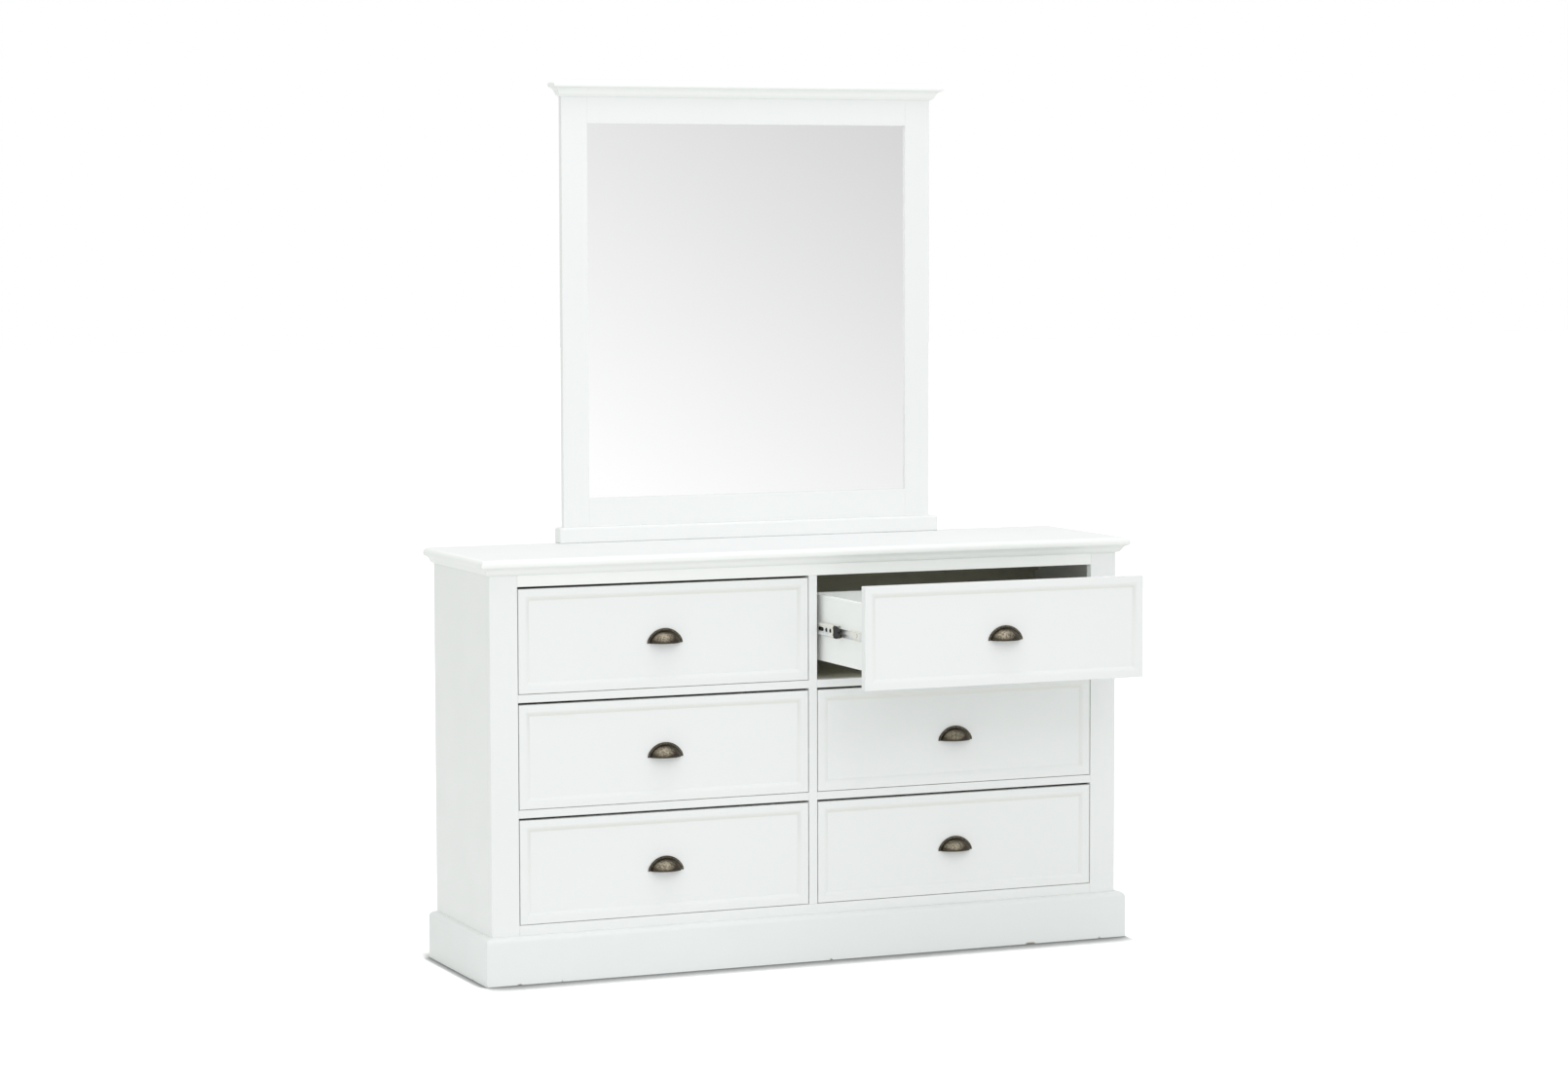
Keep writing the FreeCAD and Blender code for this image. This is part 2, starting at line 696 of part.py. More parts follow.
# ---------------------------------------------------------------- mirror

def mirror_frame():
    """Stiles and rails rebated at the back for the glass and its backing, on a low rounded base."""
    foot = "dresser_height + mirror_base_height"
    opening_height = "glass_head - glass_sill"
    seat_height = "(%s + 2 * rebate_width)" % opening_height
    seat_half = "(glass_half + rebate_width)"

    def sheet_at(name, thickness, y):
        return board(name, "2 * " + seat_half, thickness, seat_height, "-" + seat_half, y,
                     "glass_sill - rebate_width")

    rebate = sheet_at("rebate", "rebate_depth", "glass_seat")
    stiles = []
    for side, edge in (("left", "-mirror_width / 2"), ("right", "glass_half")):
        plain = board("mirror_stile_plain_" + side, "mirror_stile_width", "mirror_frame_thickness",
                      "mirror_top - (%s)" % foot, edge, "mirror_face", foot)
        stiles.append(cut("mirror_stile_" + side, plain, rebate))
    rails = []
    for name, low, high in (("upper", "glass_head", "mirror_top"), ("lower", foot, "glass_sill")):
        plain = board("mirror_rail_plain_" + name, "2 * glass_half", "mirror_frame_thickness",
                      "%s - (%s)" % (high, low), "-glass_half", "mirror_face", low)
        rails.append(cut("mirror_rail_" + name, plain, rebate))
    yield group("mirror_stiles", *stiles)
    yield group("mirror_rails", *rails)
    yield sheet_at("mirror_glass", "glass_thickness", "glass_seat")
    yield sheet_at("mirror_backing", "backing_thickness", "glass_seat + glass_thickness")
    yield rounded_board("mirror_base", "mirror_width / 2 + mirror_base_overhang",
                        "mirror_face - mirror_base_reach", "back_face", "dresser_height",
                        "mirror_base_height", "mirror_base_radius")


def mirror_cornice():
    yield rounded_board("mirror_cornice_board", "mirror_width / 2 + cornice_overhang",
                        "mirror_face - cornice_overhang", "back_face", "mirror_top",
                        "cornice_thickness", "cornice_edge_radius", "cornice_under_radius")
    profile, arcs = ogee("crown", "mirror_top - crown_height")
    runs = moulding("crown", profile, arcs, "mirror_width / 2", "mirror_face", "back_face",
                    "crown_reach", "3 * mirror_top")
    yield group("mirror_cornice_moulding", *runs)


def mirror_supports():
    """Two battens that run from the dresser's back rail up the back of the mirror's stiles."""
    middle = "(mirror_width - mirror_stile_width) / 2"
    yield group("mirror_supports", *[
        board("support_batten_" + side, "support_width", "support_thickness", "support_length",
              "%s%s - support_width / 2" % (sign, middle), "back_face", "support_bottom")
        for side, sign in (("left", "-"), ("right", ""))])


# ---------------------------------------------------------------- assembly and export

def build():
    fill_sheet()
    nodes = []
    for section in (side_panels, front_stiles, face_rails, inner_panels, plinth, dresser_top,
                    drawers, mirror_frame, mirror_cornice, mirror_supports):
        nodes.extend(section())
    doc.recompute()
    return nodes


def check(nodes):
    """Stop before anything is written if an object failed or a sub-part has no sound shape."""
    for item in doc.Objects:
        if "Invalid" in item.State or "Error" in item.State:
            raise RuntimeError("%s did not recompute: %s" % (item.Name, item.State))
    for node in nodes:
        if node.Shape.isNull() or not node.Shape.isValid() or not node.Shape.Solids:
            raise RuntimeError("%s has no valid solid" % node.Label)


def export(nodes):
    os.makedirs("parts", exist_ok=True)
    for node in nodes:
        node.Shape.exportStep("parts/%s.step" % node.Label)
        print("%-36s %2d solid(s) %9.0f mm3" % (node.Label, len(node.Shape.Solids), node.Shape.Volume))
    print("%d sub-parts" % len(nodes))


pieces = build()
check(pieces)
export(pieces)
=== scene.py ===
# %% [markdown]
# # A white dresser with a framed mirror
# The dresser has six drawers in two columns, each with a sunk panel and a dark cup pull. One drawer
# stands open on its slides, so its box and hardware show. Every size and place comes from a measured
# model of the parts. We load it first, keep it still, and dress it: pieces that need softer edges
# or finer form are modelled again here and stand in for the measured ones.

# %% Load the measured parts
import math

import bmesh
import bpy
from mathutils import Matrix, Vector


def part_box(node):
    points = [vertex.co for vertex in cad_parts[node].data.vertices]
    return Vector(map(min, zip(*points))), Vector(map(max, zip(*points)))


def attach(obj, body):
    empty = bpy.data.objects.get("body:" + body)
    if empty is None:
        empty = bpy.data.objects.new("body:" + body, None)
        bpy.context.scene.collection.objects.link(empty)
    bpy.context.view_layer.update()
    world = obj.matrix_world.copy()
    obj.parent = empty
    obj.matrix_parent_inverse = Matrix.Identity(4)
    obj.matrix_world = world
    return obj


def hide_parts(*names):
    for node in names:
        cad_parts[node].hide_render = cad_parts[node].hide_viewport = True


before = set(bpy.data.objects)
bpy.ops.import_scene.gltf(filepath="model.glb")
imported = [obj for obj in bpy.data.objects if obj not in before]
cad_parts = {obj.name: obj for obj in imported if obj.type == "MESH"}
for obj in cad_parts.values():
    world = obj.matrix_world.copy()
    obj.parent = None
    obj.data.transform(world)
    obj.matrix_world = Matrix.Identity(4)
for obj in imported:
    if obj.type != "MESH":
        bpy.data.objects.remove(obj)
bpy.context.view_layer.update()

MM = 0.001
ROWS = ("lower", "middle", "upper")
COLUMNS = ("left", "right")
DRAWERS = [row + "_" + column for row in ROWS for column in COLUMNS]

# %% [markdown]
# ## The camera
# The camera stands to the left at eye height, nearly nine metres away with a long lens, so upright
# edges stay almost parallel. The direction is written as a turn towards +X and a slight look down.
# Camera helpers that aim at a point would hide these angles, so the turns are multiplied one after
# the other.

# %% Camera
CAMERA_PLACE = Vector((-3.3955, -7.9529, 1.5731))
CAMERA_TURN = 0.40428     # radians from straight ahead towards +X
CAMERA_TILT = -0.07912    # radians above the horizon
CAMERA_ROLL = -0.00226
FOCAL_PIXELS = 4121.5
IMAGE_WIDTH = 1610
SENSOR = 36.0


def placed(name, data):
    """A new object in the scene for this lens, mesh or lamp."""
    item = bpy.data.objects.new(name, data)
    bpy.context.scene.collection.objects.link(item)
    return item


lens = bpy.data.cameras.new("studio_camera")
lens.sensor_width = SENSOR
lens.lens = SENSOR * FOCAL_PIXELS / IMAGE_WIDTH
camera = placed("studio_camera", lens)
camera.matrix_world = (Matrix.Translation(CAMERA_PLACE) @ Matrix.Rotation(-CAMERA_TURN, 4, "Z")
                       @ Matrix.Rotation(math.pi / 2 + CAMERA_TILT, 4, "X")
                       @ Matrix.Rotation(CAMERA_ROLL, 4, "Z"))
bpy.context.scene.camera = camera
print("lens: %.1f mm" % lens.lens)

# %% [markdown]
# ## Tools for materials
# A material is a small network of nodes. Writing one by hand takes three lines per node, so one
# helper makes a node, sets its options, fills its inputs and links those that are sockets.

# %% Node helpers
def give(tree, entrance, value):
    """Fill an input: another node's socket is linked to it, anything else is its value."""
    if isinstance(value, bpy.types.NodeSocket):
        tree.links.new(value, entrance)
    else:
        entrance.default_value = value


def add(tree, kind, inputs=None, **settings):
    """A new node with these settings; inputs maps names or numbers of sockets to what fills them."""
    node = tree.nodes.new(kind)
    for name, value in settings.items():
        setattr(node, name, value)
    for name, value in (inputs or {}).items():
        give(tree, node.inputs[name], value)
    return node


print("node helpers ready")

# %% [markdown]
# ## Nodes used again and again
# A few kinds of node come up in nearly every material. Each gets a short name here and gives back
# the socket that it ends in, so one can be written inside another like a sum.

# %% Common nodes
def maths(tree, operation, *values):
    """What one Math node works out."""
    return add(tree, "ShaderNodeMath", dict(enumerate(values)), operation=operation).outputs[0]


def mixed(tree, factor, first, second, blend="MIX"):
    """A colour between first and second."""
    return add(tree, "ShaderNodeMix", {0: factor, 6: first, 7: second}, data_type="RGBA",
               blend_type=blend).outputs[2]


def spread(tree, value, low, high, to_low, to_high):
    """Value, moved from the range low..high to the range to_low..to_high."""
    return add(tree, "ShaderNodeMapRange", {"Value": value, "From Min": low, "From Max": high,
                                            "To Min": to_low, "To Max": to_high}).outputs[0]


def noise(tree, place, scale, detail, roughness=0.5):
    """An uneven tone that stays near one half."""
    return add(tree, "ShaderNodeTexNoise", {"Vector": place, "Scale": scale, "Detail": detail,
                                            "Roughness": roughness}).outputs[0]


def marked(tree, layer):
    """What an attribute of the mesh says."""
    return add(tree, "ShaderNodeAttribute", attribute_name=layer).outputs["Fac"]


print("short names for Math, Mix, Map Range, Noise Texture and Attribute")

# %% [markdown]
# ## Groups and shaders
# A node group is how an effect is shared between materials: it is built once, with named inputs
# and outputs, and each material places it with its own values. The shader itself stays in the
# material. Most finishes end alike, in a colour, a roughness and a height that acts as bump.

# %% Group and material helpers
def new_group(name, inputs, outputs):
    """A shader node group, what comes into it and what goes out."""
    group = bpy.data.node_groups.new(name, "ShaderNodeTree")
    for label, kind, value in inputs:
        socket = group.interface.new_socket(label, in_out="INPUT", socket_type=kind)
        if value is not None:
            socket.default_value = value
    for label in outputs:
        group.interface.new_socket(label, in_out="OUTPUT", socket_type="NodeSocketFloat")
    return group, group.nodes.new("NodeGroupInput").outputs, group.nodes.new("NodeGroupOutput").inputs


def use(tree, group, **inputs):
    """The group as a node of this tree, its inputs filled in; its outputs."""
    node = add(tree, "ShaderNodeGroup", node_tree=group)
    for name, value in inputs.items():
        give(tree, node.inputs[name], value)
    return node.outputs


def new_material(name, **settings):
    """A material, its tree, its Principled shader with these plain settings, and the place."""
    material = bpy.data.materials.new(name)
    material.use_nodes = True
    tree = material.node_tree
    shader = tree.nodes["Principled BSDF"]
    for label, value in settings.items():
        shader.inputs[label.replace("_", " ")].default_value = value
    place = add(tree, "ShaderNodeTexCoord").outputs["Object"]
    return material, tree, shader, place


def finished(tree, shader, colour, roughness, height=None, strength=0.0, depth=0.0):
    """Colour, roughness and, where a height is given, bump of this strength and depth."""
    give(tree, shader.inputs["Base Color"], colour)
    give(tree, shader.inputs["Roughness"], roughness)
    if height is not None:
        bump = add(tree, "ShaderNodeBump", {"Height": height, "Strength": strength, "Distance": depth})
        give(tree, shader.inputs["Normal"], bump.outputs[0])


print("group and material helpers ready")

# %% [markdown]
# ## Clouds and orange peel
# Nothing real is one even colour. The first shared effect is slow clouds in a tone. The second is
# the orange peel of sprayed lacquer: fine bumps on long low waves. A group puts out plain values,
# so each material can choose its own colours for them.

# %% Clouds and orange peel
VECTOR, FLOAT = "NodeSocketVector", "NodeSocketFloat"
FAINT, FULL = 0.3, 0.7     # a noise seldom leaves this range
WAVE_SCALE, WAVE_SHARE = 14.0, 2.5

clouds, entry, leave = new_group(
    "clouds", [("Place", VECTOR, None), ("Scale", FLOAT, 3.0), ("Detail", FLOAT, 4.0)], ["Tone"])
billows = noise(clouds, entry["Place"], entry["Scale"], entry["Detail"], 0.55)
give(clouds, leave["Tone"], spread(clouds, billows, FAINT, FULL, 0.0, 1.0))

orange_peel, entry, leave = new_group(
    "orange_peel", [("Place", VECTOR, None), ("Scale", FLOAT, 350.0)], ["Height", "Tone"])
fine = noise(orange_peel, entry["Place"], entry["Scale"], 2.0, 0.4)
wavy = noise(orange_peel, entry["Place"], WAVE_SCALE, 2.0)
give(orange_peel, leave["Height"], maths(orange_peel, "MULTIPLY_ADD", wavy, WAVE_SHARE, fine))
give(orange_peel, leave["Tone"], wavy)
print("effects:", [group.name for group in bpy.data.node_groups])

# %% [markdown]
# ## Streaks and edge wear
# Rolled steel and pressed board have a direction. Streaks are a noise whose place is stretched more
# one way than the other. Wear is the opposite, it has no direction but a place: it sits only on the
# rounded edges of a piece, which its mesh marks in the attribute "edge".

# %% Streaks and edge wear
EDGE_LAYER = "edge"
WEAR_LIMIT, WEAR_SOFTNESS = 0.75, 0.08

streaks, entry, leave = new_group(
    "streaks", [("Place", VECTOR, None), ("Across", FLOAT, 600.0), ("Along", FLOAT, 8.0)], ["Tone"])
stretch = add(streaks, "ShaderNodeCombineXYZ",
              {"X": entry["Across"], "Y": entry["Along"], "Z": entry["Across"]}).outputs[0]
drawn = add(streaks, "ShaderNodeVectorMath", {0: entry["Place"], 1: stretch},
            operation="MULTIPLY").outputs[0]
lines = noise(streaks, drawn, 1.0, 3.0)
give(streaks, leave["Tone"], spread(streaks, lines, FAINT, FULL, 0.0, 1.0))

edge_wear, entry, leave = new_group(
    "edge_wear", [("Place", VECTOR, None), ("Scale", FLOAT, 40.0), ("Share", FLOAT, 0.4)], ["Mask"])
broken = noise(edge_wear, entry["Place"], entry["Scale"], 5.0, 0.6)
limit = maths(edge_wear, "SUBTRACT", WEAR_LIMIT, entry["Share"])
above = maths(edge_wear, "SUBTRACT", broken, limit)
patch = spread(edge_wear, above, 0.0, WEAR_SOFTNESS, 0.0, 1.0)
give(edge_wear, leave["Mask"], maths(edge_wear, "MULTIPLY", patch, marked(edge_wear, EDGE_LAYER)))
print("effects:", [group.name for group in bpy.data.node_groups])

# %% [markdown]
# ## White lacquer
# The carcass, the drawer fronts and the mirror frame are sprayed with a satin white lacquer that
# leans slightly to green and blue. It hides the board's grain, so all it needs is a faint cloudiness,
# the orange peel of the spray gun as bump, and roughness that wanders a little. On the rounded edges
# the film is thinner, and the tone drops where the board shows through. Faces marked "hollow", the
# steep slopes under a rim, get painted shade: a warm, darker tone. Mouldings, top rail and the edges
# of top and cornice take a copy painted lighter, and the plinth one painted greyer, as painted light
# and shade. One function makes all three. The plinth's lowest few millimetres have lost a few chips, down to
# the wood.

# %% White lacquer
# painted shade: this layer and the warm tone below darken the steep faces under a rim
PAINTED_SHADE_LAYER = "hollow"
LACQUER_THIN = (0.80, 0.80, 0.765, 1)
LACQUER_PAINTED_SHADE = (0.82, 0.82, 0.77, 1)
BARE_WOOD = (0.30, 0.24, 0.18, 1)
CHIP_HEIGHT = 4.5 * MM
CHIP_SCALE = 23.0
CHIP_FROM, CHIP_TO = 0.80, 0.88     # only the brightest spots of the clouds are chips


def chips(tree, place):
    """Where chips are missing, close to the floor."""
    height = add(tree, "ShaderNodeSeparateXYZ", {0: place}).outputs["Z"]
    low_down = spread(tree, height, CHIP_HEIGHT / 2, CHIP_HEIGHT, 1.0, 0.0)
    patches = use(tree, clouds, Place=place, Scale=CHIP_SCALE, Detail=6.0)["Tone"]
    return maths(tree, "MULTIPLY", low_down, spread(tree, patches, CHIP_FROM, CHIP_TO, 0.0, 1.0))


def lacquer(name, fresh, deep, chipped=False):
    """Sprayed satin lacquer between two close tones, with or without chips along the floor."""
    material, tree, shader, place = new_material(name, Specular_IOR_Level=0.42)
    peel = use(tree, orange_peel, Place=place, Scale=420.0)
    tone = use(tree, clouds, Place=place, Scale=2.2, Detail=3.0)["Tone"]
    thin = use(tree, edge_wear, Place=place, Scale=28.0, Share=0.30)["Mask"]
    colour = mixed(tree, thin, mixed(tree, tone, fresh, deep), LACQUER_THIN)
    # painted shade on the faces marked "hollow"
    colour = mixed(tree, marked(tree, PAINTED_SHADE_LAYER), colour, LACQUER_PAINTED_SHADE)
    if chipped:
        colour = mixed(tree, chips(tree, place), colour, BARE_WOOD)
    satin = spread(tree, peel["Tone"], FAINT, FULL, 0.40, 0.50)
    finished(tree, shader, colour, satin, peel["Height"], 0.10, 0.2 * MM)
    return material


white_lacquer = lacquer("white_lacquer", (0.885, 0.897, 0.890, 1), (0.870, 0.883, 0.874, 1))
# painted light and shade: a lighter copy of the lacquer for parts that need more light, a greyer one for the
# plinth
painted_lit_lacquer = lacquer("painted_lit_lacquer", (0.945, 0.955, 0.935, 1), (0.930, 0.942, 0.920, 1))
chipped_painted_shade_lacquer = lacquer("chipped_painted_shade_lacquer", (0.858, 0.880, 0.874, 1), (0.843, 0.865, 0.858, 1), True)
print("lacquers:", white_lacquer.name, painted_lit_lacquer.name, chipped_painted_shade_lacquer.name)

# %% [markdown]
# ## Boards that aren't lacquered white
# The drawer boxes are made of a pale coated board: nearly as light as the front, duller, with a
# faint printed grain along its length. The inside of the carcass is raw pressed board, an
# olive brown with short fibres. The mirror's battens are sawn softwood. All three are
# the streaks group at different sizes, coloured by their own two tones.

# %% Drawer board, dark board and batten wood
ROUGHNESS_VARIES = 0.06


def board_material(name, light, dark, across, along, roughness, bump_depth):
    """A pressed or sawn board whose two tones follow streaks and clouds."""
    material, tree, shader, place = new_material(name, Specular_IOR_Level=0.3)
    grain = use(tree, streaks, Place=place, Across=across, Along=along)["Tone"]
    tone = use(tree, clouds, Place=place, Scale=9.0, Detail=5.0)["Tone"]
    colour = mixed(tree, maths(tree, "MULTIPLY", grain, tone), light, dark)
    dull = spread(tree, grain, 0.0, 1.0, roughness - ROUGHNESS_VARIES, roughness + ROUGHNESS_VARIES)
    finished(tree, shader, colour, dull, grain, 0.3, bump_depth)
    return material


drawer_lining = board_material("drawer_lining", (0.95, 0.965, 0.95, 1), (0.92, 0.935, 0.915, 1),
                               90.0, 5.0, 0.55, 0.1 * MM)
dark_board = board_material("dark_board", (0.62, 0.605, 0.49, 1), (0.52, 0.50, 0.40, 1),
                            350.0, 60.0, 0.8, 0.2 * MM)
batten_wood = board_material("batten_wood", (0.62, 0.49, 0.33, 1), (0.45, 0.31, 0.18, 1),
                             160.0, 160.0, 0.7, 0.3 * MM)
print("board materials:", drawer_lining.name, dark_board.name, batten_wood.name)

# %% [markdown]
# ## Zinc plate and dull steel
# The slides are rolled steel with a bright zinc finish. Its passivation layer is so thin that it
# shows weak colours, blue in one place and straw in the next, so slow clouds pick from a colour
# ramp, and fine streaks roughen it along the rolling. Screws and balls are plain steel, darker and
# stained in small spots, which one mix of two greys is enough for.

# %% Metals of the hardware
ZINC = (0.83, 0.84, 0.82, 1)
ZINC_COLOURS = {0.25: (0.76, 0.79, 0.81, 1), 0.5: (0.86, 0.86, 0.82, 1), 0.8: (0.87, 0.85, 0.77, 1)}

bright_zinc, tree, shader, place = new_material("bright_zinc", Metallic=0.7)
film = use(tree, clouds, Place=place, Scale=28.0, Detail=2.0)["Tone"]
ramp = add(tree, "ShaderNodeValToRGB", {"Fac": film})
for position, colour in ZINC_COLOURS.items():
    ramp.color_ramp.elements.new(position).color = colour
for stop in (ramp.color_ramp.elements[0], ramp.color_ramp.elements[-1]):
    stop.color = ZINC
rolled = use(tree, streaks, Place=place, Across=900.0, Along=12.0)["Tone"]
finished(tree, shader, ramp.outputs[0], spread(tree, rolled, 0.0, 1.0, 0.34, 0.50),
         rolled, 0.15, 0.05 * MM)

dull_steel, tree, shader, place = new_material("dull_steel", Metallic=1.0)
stained = use(tree, clouds, Place=place, Scale=300.0, Detail=4.0)["Tone"]
steel = mixed(tree, stained, (0.42, 0.43, 0.43, 1), (0.27, 0.28, 0.30, 1))
finished(tree, shader, steel, spread(tree, stained, 0.0, 1.0, 0.30, 0.48))
print("metals:", bright_zinc.name, dull_steel.name)

# %% [markdown]
# ## Black plastic and old bronze
# The slides' bumpers are black moulded plastic with a fine spark texture. The pulls are cast, coated
# almost black, and worn back where hands and polish reach them. An attribute written on their mesh
# later says where the bright metal shows: partly that wear, partly a painted highlight. Their surface
# is hammered, which the rounded cells of a Voronoi texture give as bump.

# %% Plastic and bronze
WEAR_AND_HIGHLIGHT_LAYER = "wear_and_highlight"
BRONZE_COATS = (0.038, 0.031, 0.022, 1), (0.085, 0.073, 0.055, 1)
BRONZE_BRIGHT = (0.44, 0.39, 0.29, 1)

black_plastic, tree, shader, place = new_material("black_plastic", Specular_IOR_Level=0.2)
spark = use(tree, clouds, Place=place, Scale=900.0, Detail=2.0)["Tone"]
black = mixed(tree, spark, (0.010, 0.010, 0.011, 1), (0.022, 0.022, 0.023, 1))
finished(tree, shader, black, spread(tree, spark, 0.0, 1.0, 0.42, 0.6), spark, 0.2, 0.05 * MM)

old_bronze, tree, shader, place = new_material("old_bronze", Metallic=1.0)
blotch = noise(tree, place, 260.0, 4.0, 0.6)
# bright metal where the coat is worn, and a painted highlight on the hood
bright_wear_and_highlight = maths(tree, "MULTIPLY", marked(tree, WEAR_AND_HIGHLIGHT_LAYER),
                 spread(tree, blotch, 0.38, 0.58, 0.25, 1.0))
bronze = mixed(tree, bright_wear_and_highlight, mixed(tree, blotch, *BRONZE_COATS), BRONZE_BRIGHT)
hammered = add(tree, "ShaderNodeTexVoronoi", {"Vector": place, "Scale": 330.0},
               feature="SMOOTH_F1").outputs[0]
finished(tree, shader, bronze, spread(tree, blotch, FAINT, FULL, 0.34, 0.52), hammered, 0.35, 0.3 * MM)
print("made:", black_plastic.name, old_bronze.name)

# %% [markdown]
# ## Silvered glass
# A mirror is a metal film behind glass. From the front it acts like one smooth metal surface with a
# grain of dust, so a metallic shader with almost no roughness is enough, and tracing real glass
# would only add noise. A faint haze raises the roughness a hair in patches.

# %% Silvered glass
MIRROR_REFLECTS = 0.94
HAZE_DARKER = (0.008, 0.005, 0.005)
HAZE_ROUGHNESS = 0.012

silvered_glass, tree, shader, place = new_material("silvered_glass", Metallic=1.0)
haze = use(tree, clouds, Place=place, Scale=5.0, Detail=6.0)["Tone"]
silver = (MIRROR_REFLECTS, MIRROR_REFLECTS, MIRROR_REFLECTS, 1)
dusty = (*(MIRROR_REFLECTS - less for less in HAZE_DARKER), 1)
finished(tree, shader, mixed(tree, haze, silver, dusty), spread(tree, haze, 0.0, 1.0, 0.0, HAZE_ROUGHNESS))
print("mirror reflects", MIRROR_REFLECTS)

# %% [markdown]
# ## Tools for shapes
# Every new shape starts in a bmesh, here called a form. Operators take lists of points, edges or
# faces and give back what they made, so the first helpers only find the right ones: what touches
# these points, and which points an extrusion has added.

# %% Shape helpers
def new_form():
    """An empty bmesh that can mark its rounded edges."""
    form = bmesh.new()
    form.faces.layers.float.new(EDGE_LAYER)
    return form


def edges_of(verts):
    """The edges that touch these vertices."""
    return {edge for vert in verts for edge in vert.link_edges}


def faces_of(verts):
    """The faces that touch these vertices."""
    return list({face for vert in verts for face in vert.link_faces})


def pushed(form, faces):
    """Extrude these faces: the vertices of the new ones, still where the old ones are."""
    made = bmesh.ops.extrude_face_region(form, geom=faces)["geom"]
    return [item for item in made if isinstance(item, bmesh.types.BMVert)]


print("shape helpers ready")

# %% [markdown]
# ## Boards and rounded edges
# The arrises of nearly all pieces are rounded with the bevel operator, because no real edge is a
# knife edge, and the faces that this makes are marked in the attribute "edge", so that materials
# can find them. Pieces made of several boards keep each board as its own closed shell.

# %% Boards and rounded edges
SMOOTH_UNDER = math.radians(38)


def round_over(form, edges, radius, segments=2, worn=1.0):
    """Bevel these edges and mark the new faces."""
    made = bmesh.ops.bevel(form, geom=list(edges), offset=radius, offset_type="OFFSET", segments=segments,
                           profile=0.5, affect="EDGES", material=-1, clamp_overlap=True)
    layer = form.faces.layers.float[EDGE_LAYER]
    for face in made["faces"]:
        face[layer] = worn


def arrises(edges):
    """Those of the edges where two faces turn sharply."""
    return [edge for edge in edges if len(edge.link_faces) == 2 and edge.calc_face_angle(0) > SMOOTH_UNDER]


def board(form, low, high, radius=0.0):
    """A square-edged board between two corners, its arrises rounded; its first eight corners."""
    corners = bmesh.ops.create_cube(form, size=1)["verts"]
    low, high = Vector(low), Vector(high)
    bmesh.ops.scale(form, vec=high - low, verts=corners)
    bmesh.ops.translate(form, vec=(low + high) / 2, verts=corners)
    if radius:
        round_over(form, edges_of(corners), radius)
    return corners


print("an arris turns by more than %.0f degrees" % math.degrees(SMOOTH_UNDER))

# %% [markdown]
# ## From a form to a finished piece
# A finished piece has smooth faces, sharp only where they turn by more than an angle, and a Weighted
# Normal modifier, which keeps broad faces looking flat between their rounded edges. It rides on a
# body, so it moves with it. Folded steel is modelled as a sheet, and Solidify makes it thick.

# %% Finished pieces
def mesh_of(form, name):
    """The form's mesh; the form itself is given up."""
    mesh = bpy.data.meshes.new(name)
    form.to_mesh(mesh)
    form.free()
    return mesh


def shown(form, name, body, materials, nodes=(), smooth_under=SMOOTH_UNDER, sheet=0.0):
    """The finished piece: it rides on a body, takes a finish and stands for measured parts."""
    for face in form.faces:
        face.smooth = True
    mesh = mesh_of(form, name)
    for material in materials:
        mesh.materials.append(material)
    mesh.set_sharp_from_angle(angle=smooth_under)
    piece = placed(name, mesh)
    if sheet:
        thick = piece.modifiers.new("sheet", "SOLIDIFY")
        thick.thickness = sheet
        thick.offset = 0
    normals = piece.modifiers.new("flat_faces_stay_flat", "WEIGHTED_NORMAL")
    normals.keep_sharp = True
    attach(piece, body)
    if nodes:
        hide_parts(*nodes)
    return piece


print("finished pieces are smooth under %.0f degrees" % math.degrees(SMOOTH_UNDER))

# %% [markdown]
# ## Softened copies
# Where a measured part already has the right form, a copy of it only needs its arrises rounded. Its
# mesh is loose triangles, so points that lie together are merged first, and flat faces are
# made whole again. The measured part itself stays as it is.

# %% Softened copies
SAME_PLANE = math.radians(1)
UPWARD = 0.95
TOUCHING = 0.01 * MM     # points nearer than this are one point


def softened(node, body, materials, radius):
    """A copy of a measured part with its arrises rounded; a second material covers its upper side."""
    form = bmesh.new()
    form.from_mesh(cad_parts[node].data)
    form.faces.layers.float.new(EDGE_LAYER)
    bmesh.ops.remove_doubles(form, verts=form.verts, dist=TOUCHING)
    bmesh.ops.dissolve_limit(form, angle_limit=SAME_PLANE, verts=form.verts, edges=form.edges)
    round_over(form, arrises(form.edges), radius)
    for face in form.faces:
        face.material_index = 1 if face.normal.z > UPWARD and len(materials) > 1 else 0
    return shown(form, node + "_shown", body, materials, [node])


print("points merge within %.2f mm" % (TOUCHING / MM))

# %% [markdown]
# ## Carcass, face frame and mirror frame
# These boards already have their true form, curved edges included. A copy of each gets the small
# radius that sanding leaves. Where two boards meet flush, as stile and rail do, the two
# radii make the fine line that shows through the paint at every joint.

# %% White boards
SANDED = 0.5 * MM
TIGHT = 0.25 * MM
WHITE_BOARDS = {
    (SANDED, white_lacquer): ("side_panel_left", "side_panel_right", "front_stile_left", "front_stile_right",
                              "centre_stile", "drawer_rails", "bottom_rail"),
    (TIGHT, white_lacquer): ("mirror_stiles", "mirror_rails"),
    # painted light: the top rail takes the lighter copy against the shade under the moulding
    (SANDED, painted_lit_lacquer): ("top_rail",),
    # painted light: the edges of these boards take the lighter copy, their upper faces the plain white
    (SANDED, painted_lit_lacquer, white_lacquer): ("top_board", "mirror_cornice_board"),
}
for (radius, *materials), nodes in WHITE_BOARDS.items():
    for node in nodes:
        piece = softened(node, "cabinet", materials, radius)
        print(piece.name, len(piece.data.polygons), "faces")

# %% [markdown]
# ## The mirror's foot
# The mirror stands on a thick board with well rounded front corners, a round upper edge and a
# tighter lower one. The back stays square, because it lies against the battens. Bevelling the
# upright corners first lets the other two bevels run round them.

# %% The mirror's foot
FOOT_CORNER = 6 * MM
FOOT_UPPER = 5.5 * MM
FOOT_LOWER = 3 * MM
FOOT_SEGMENTS = 5

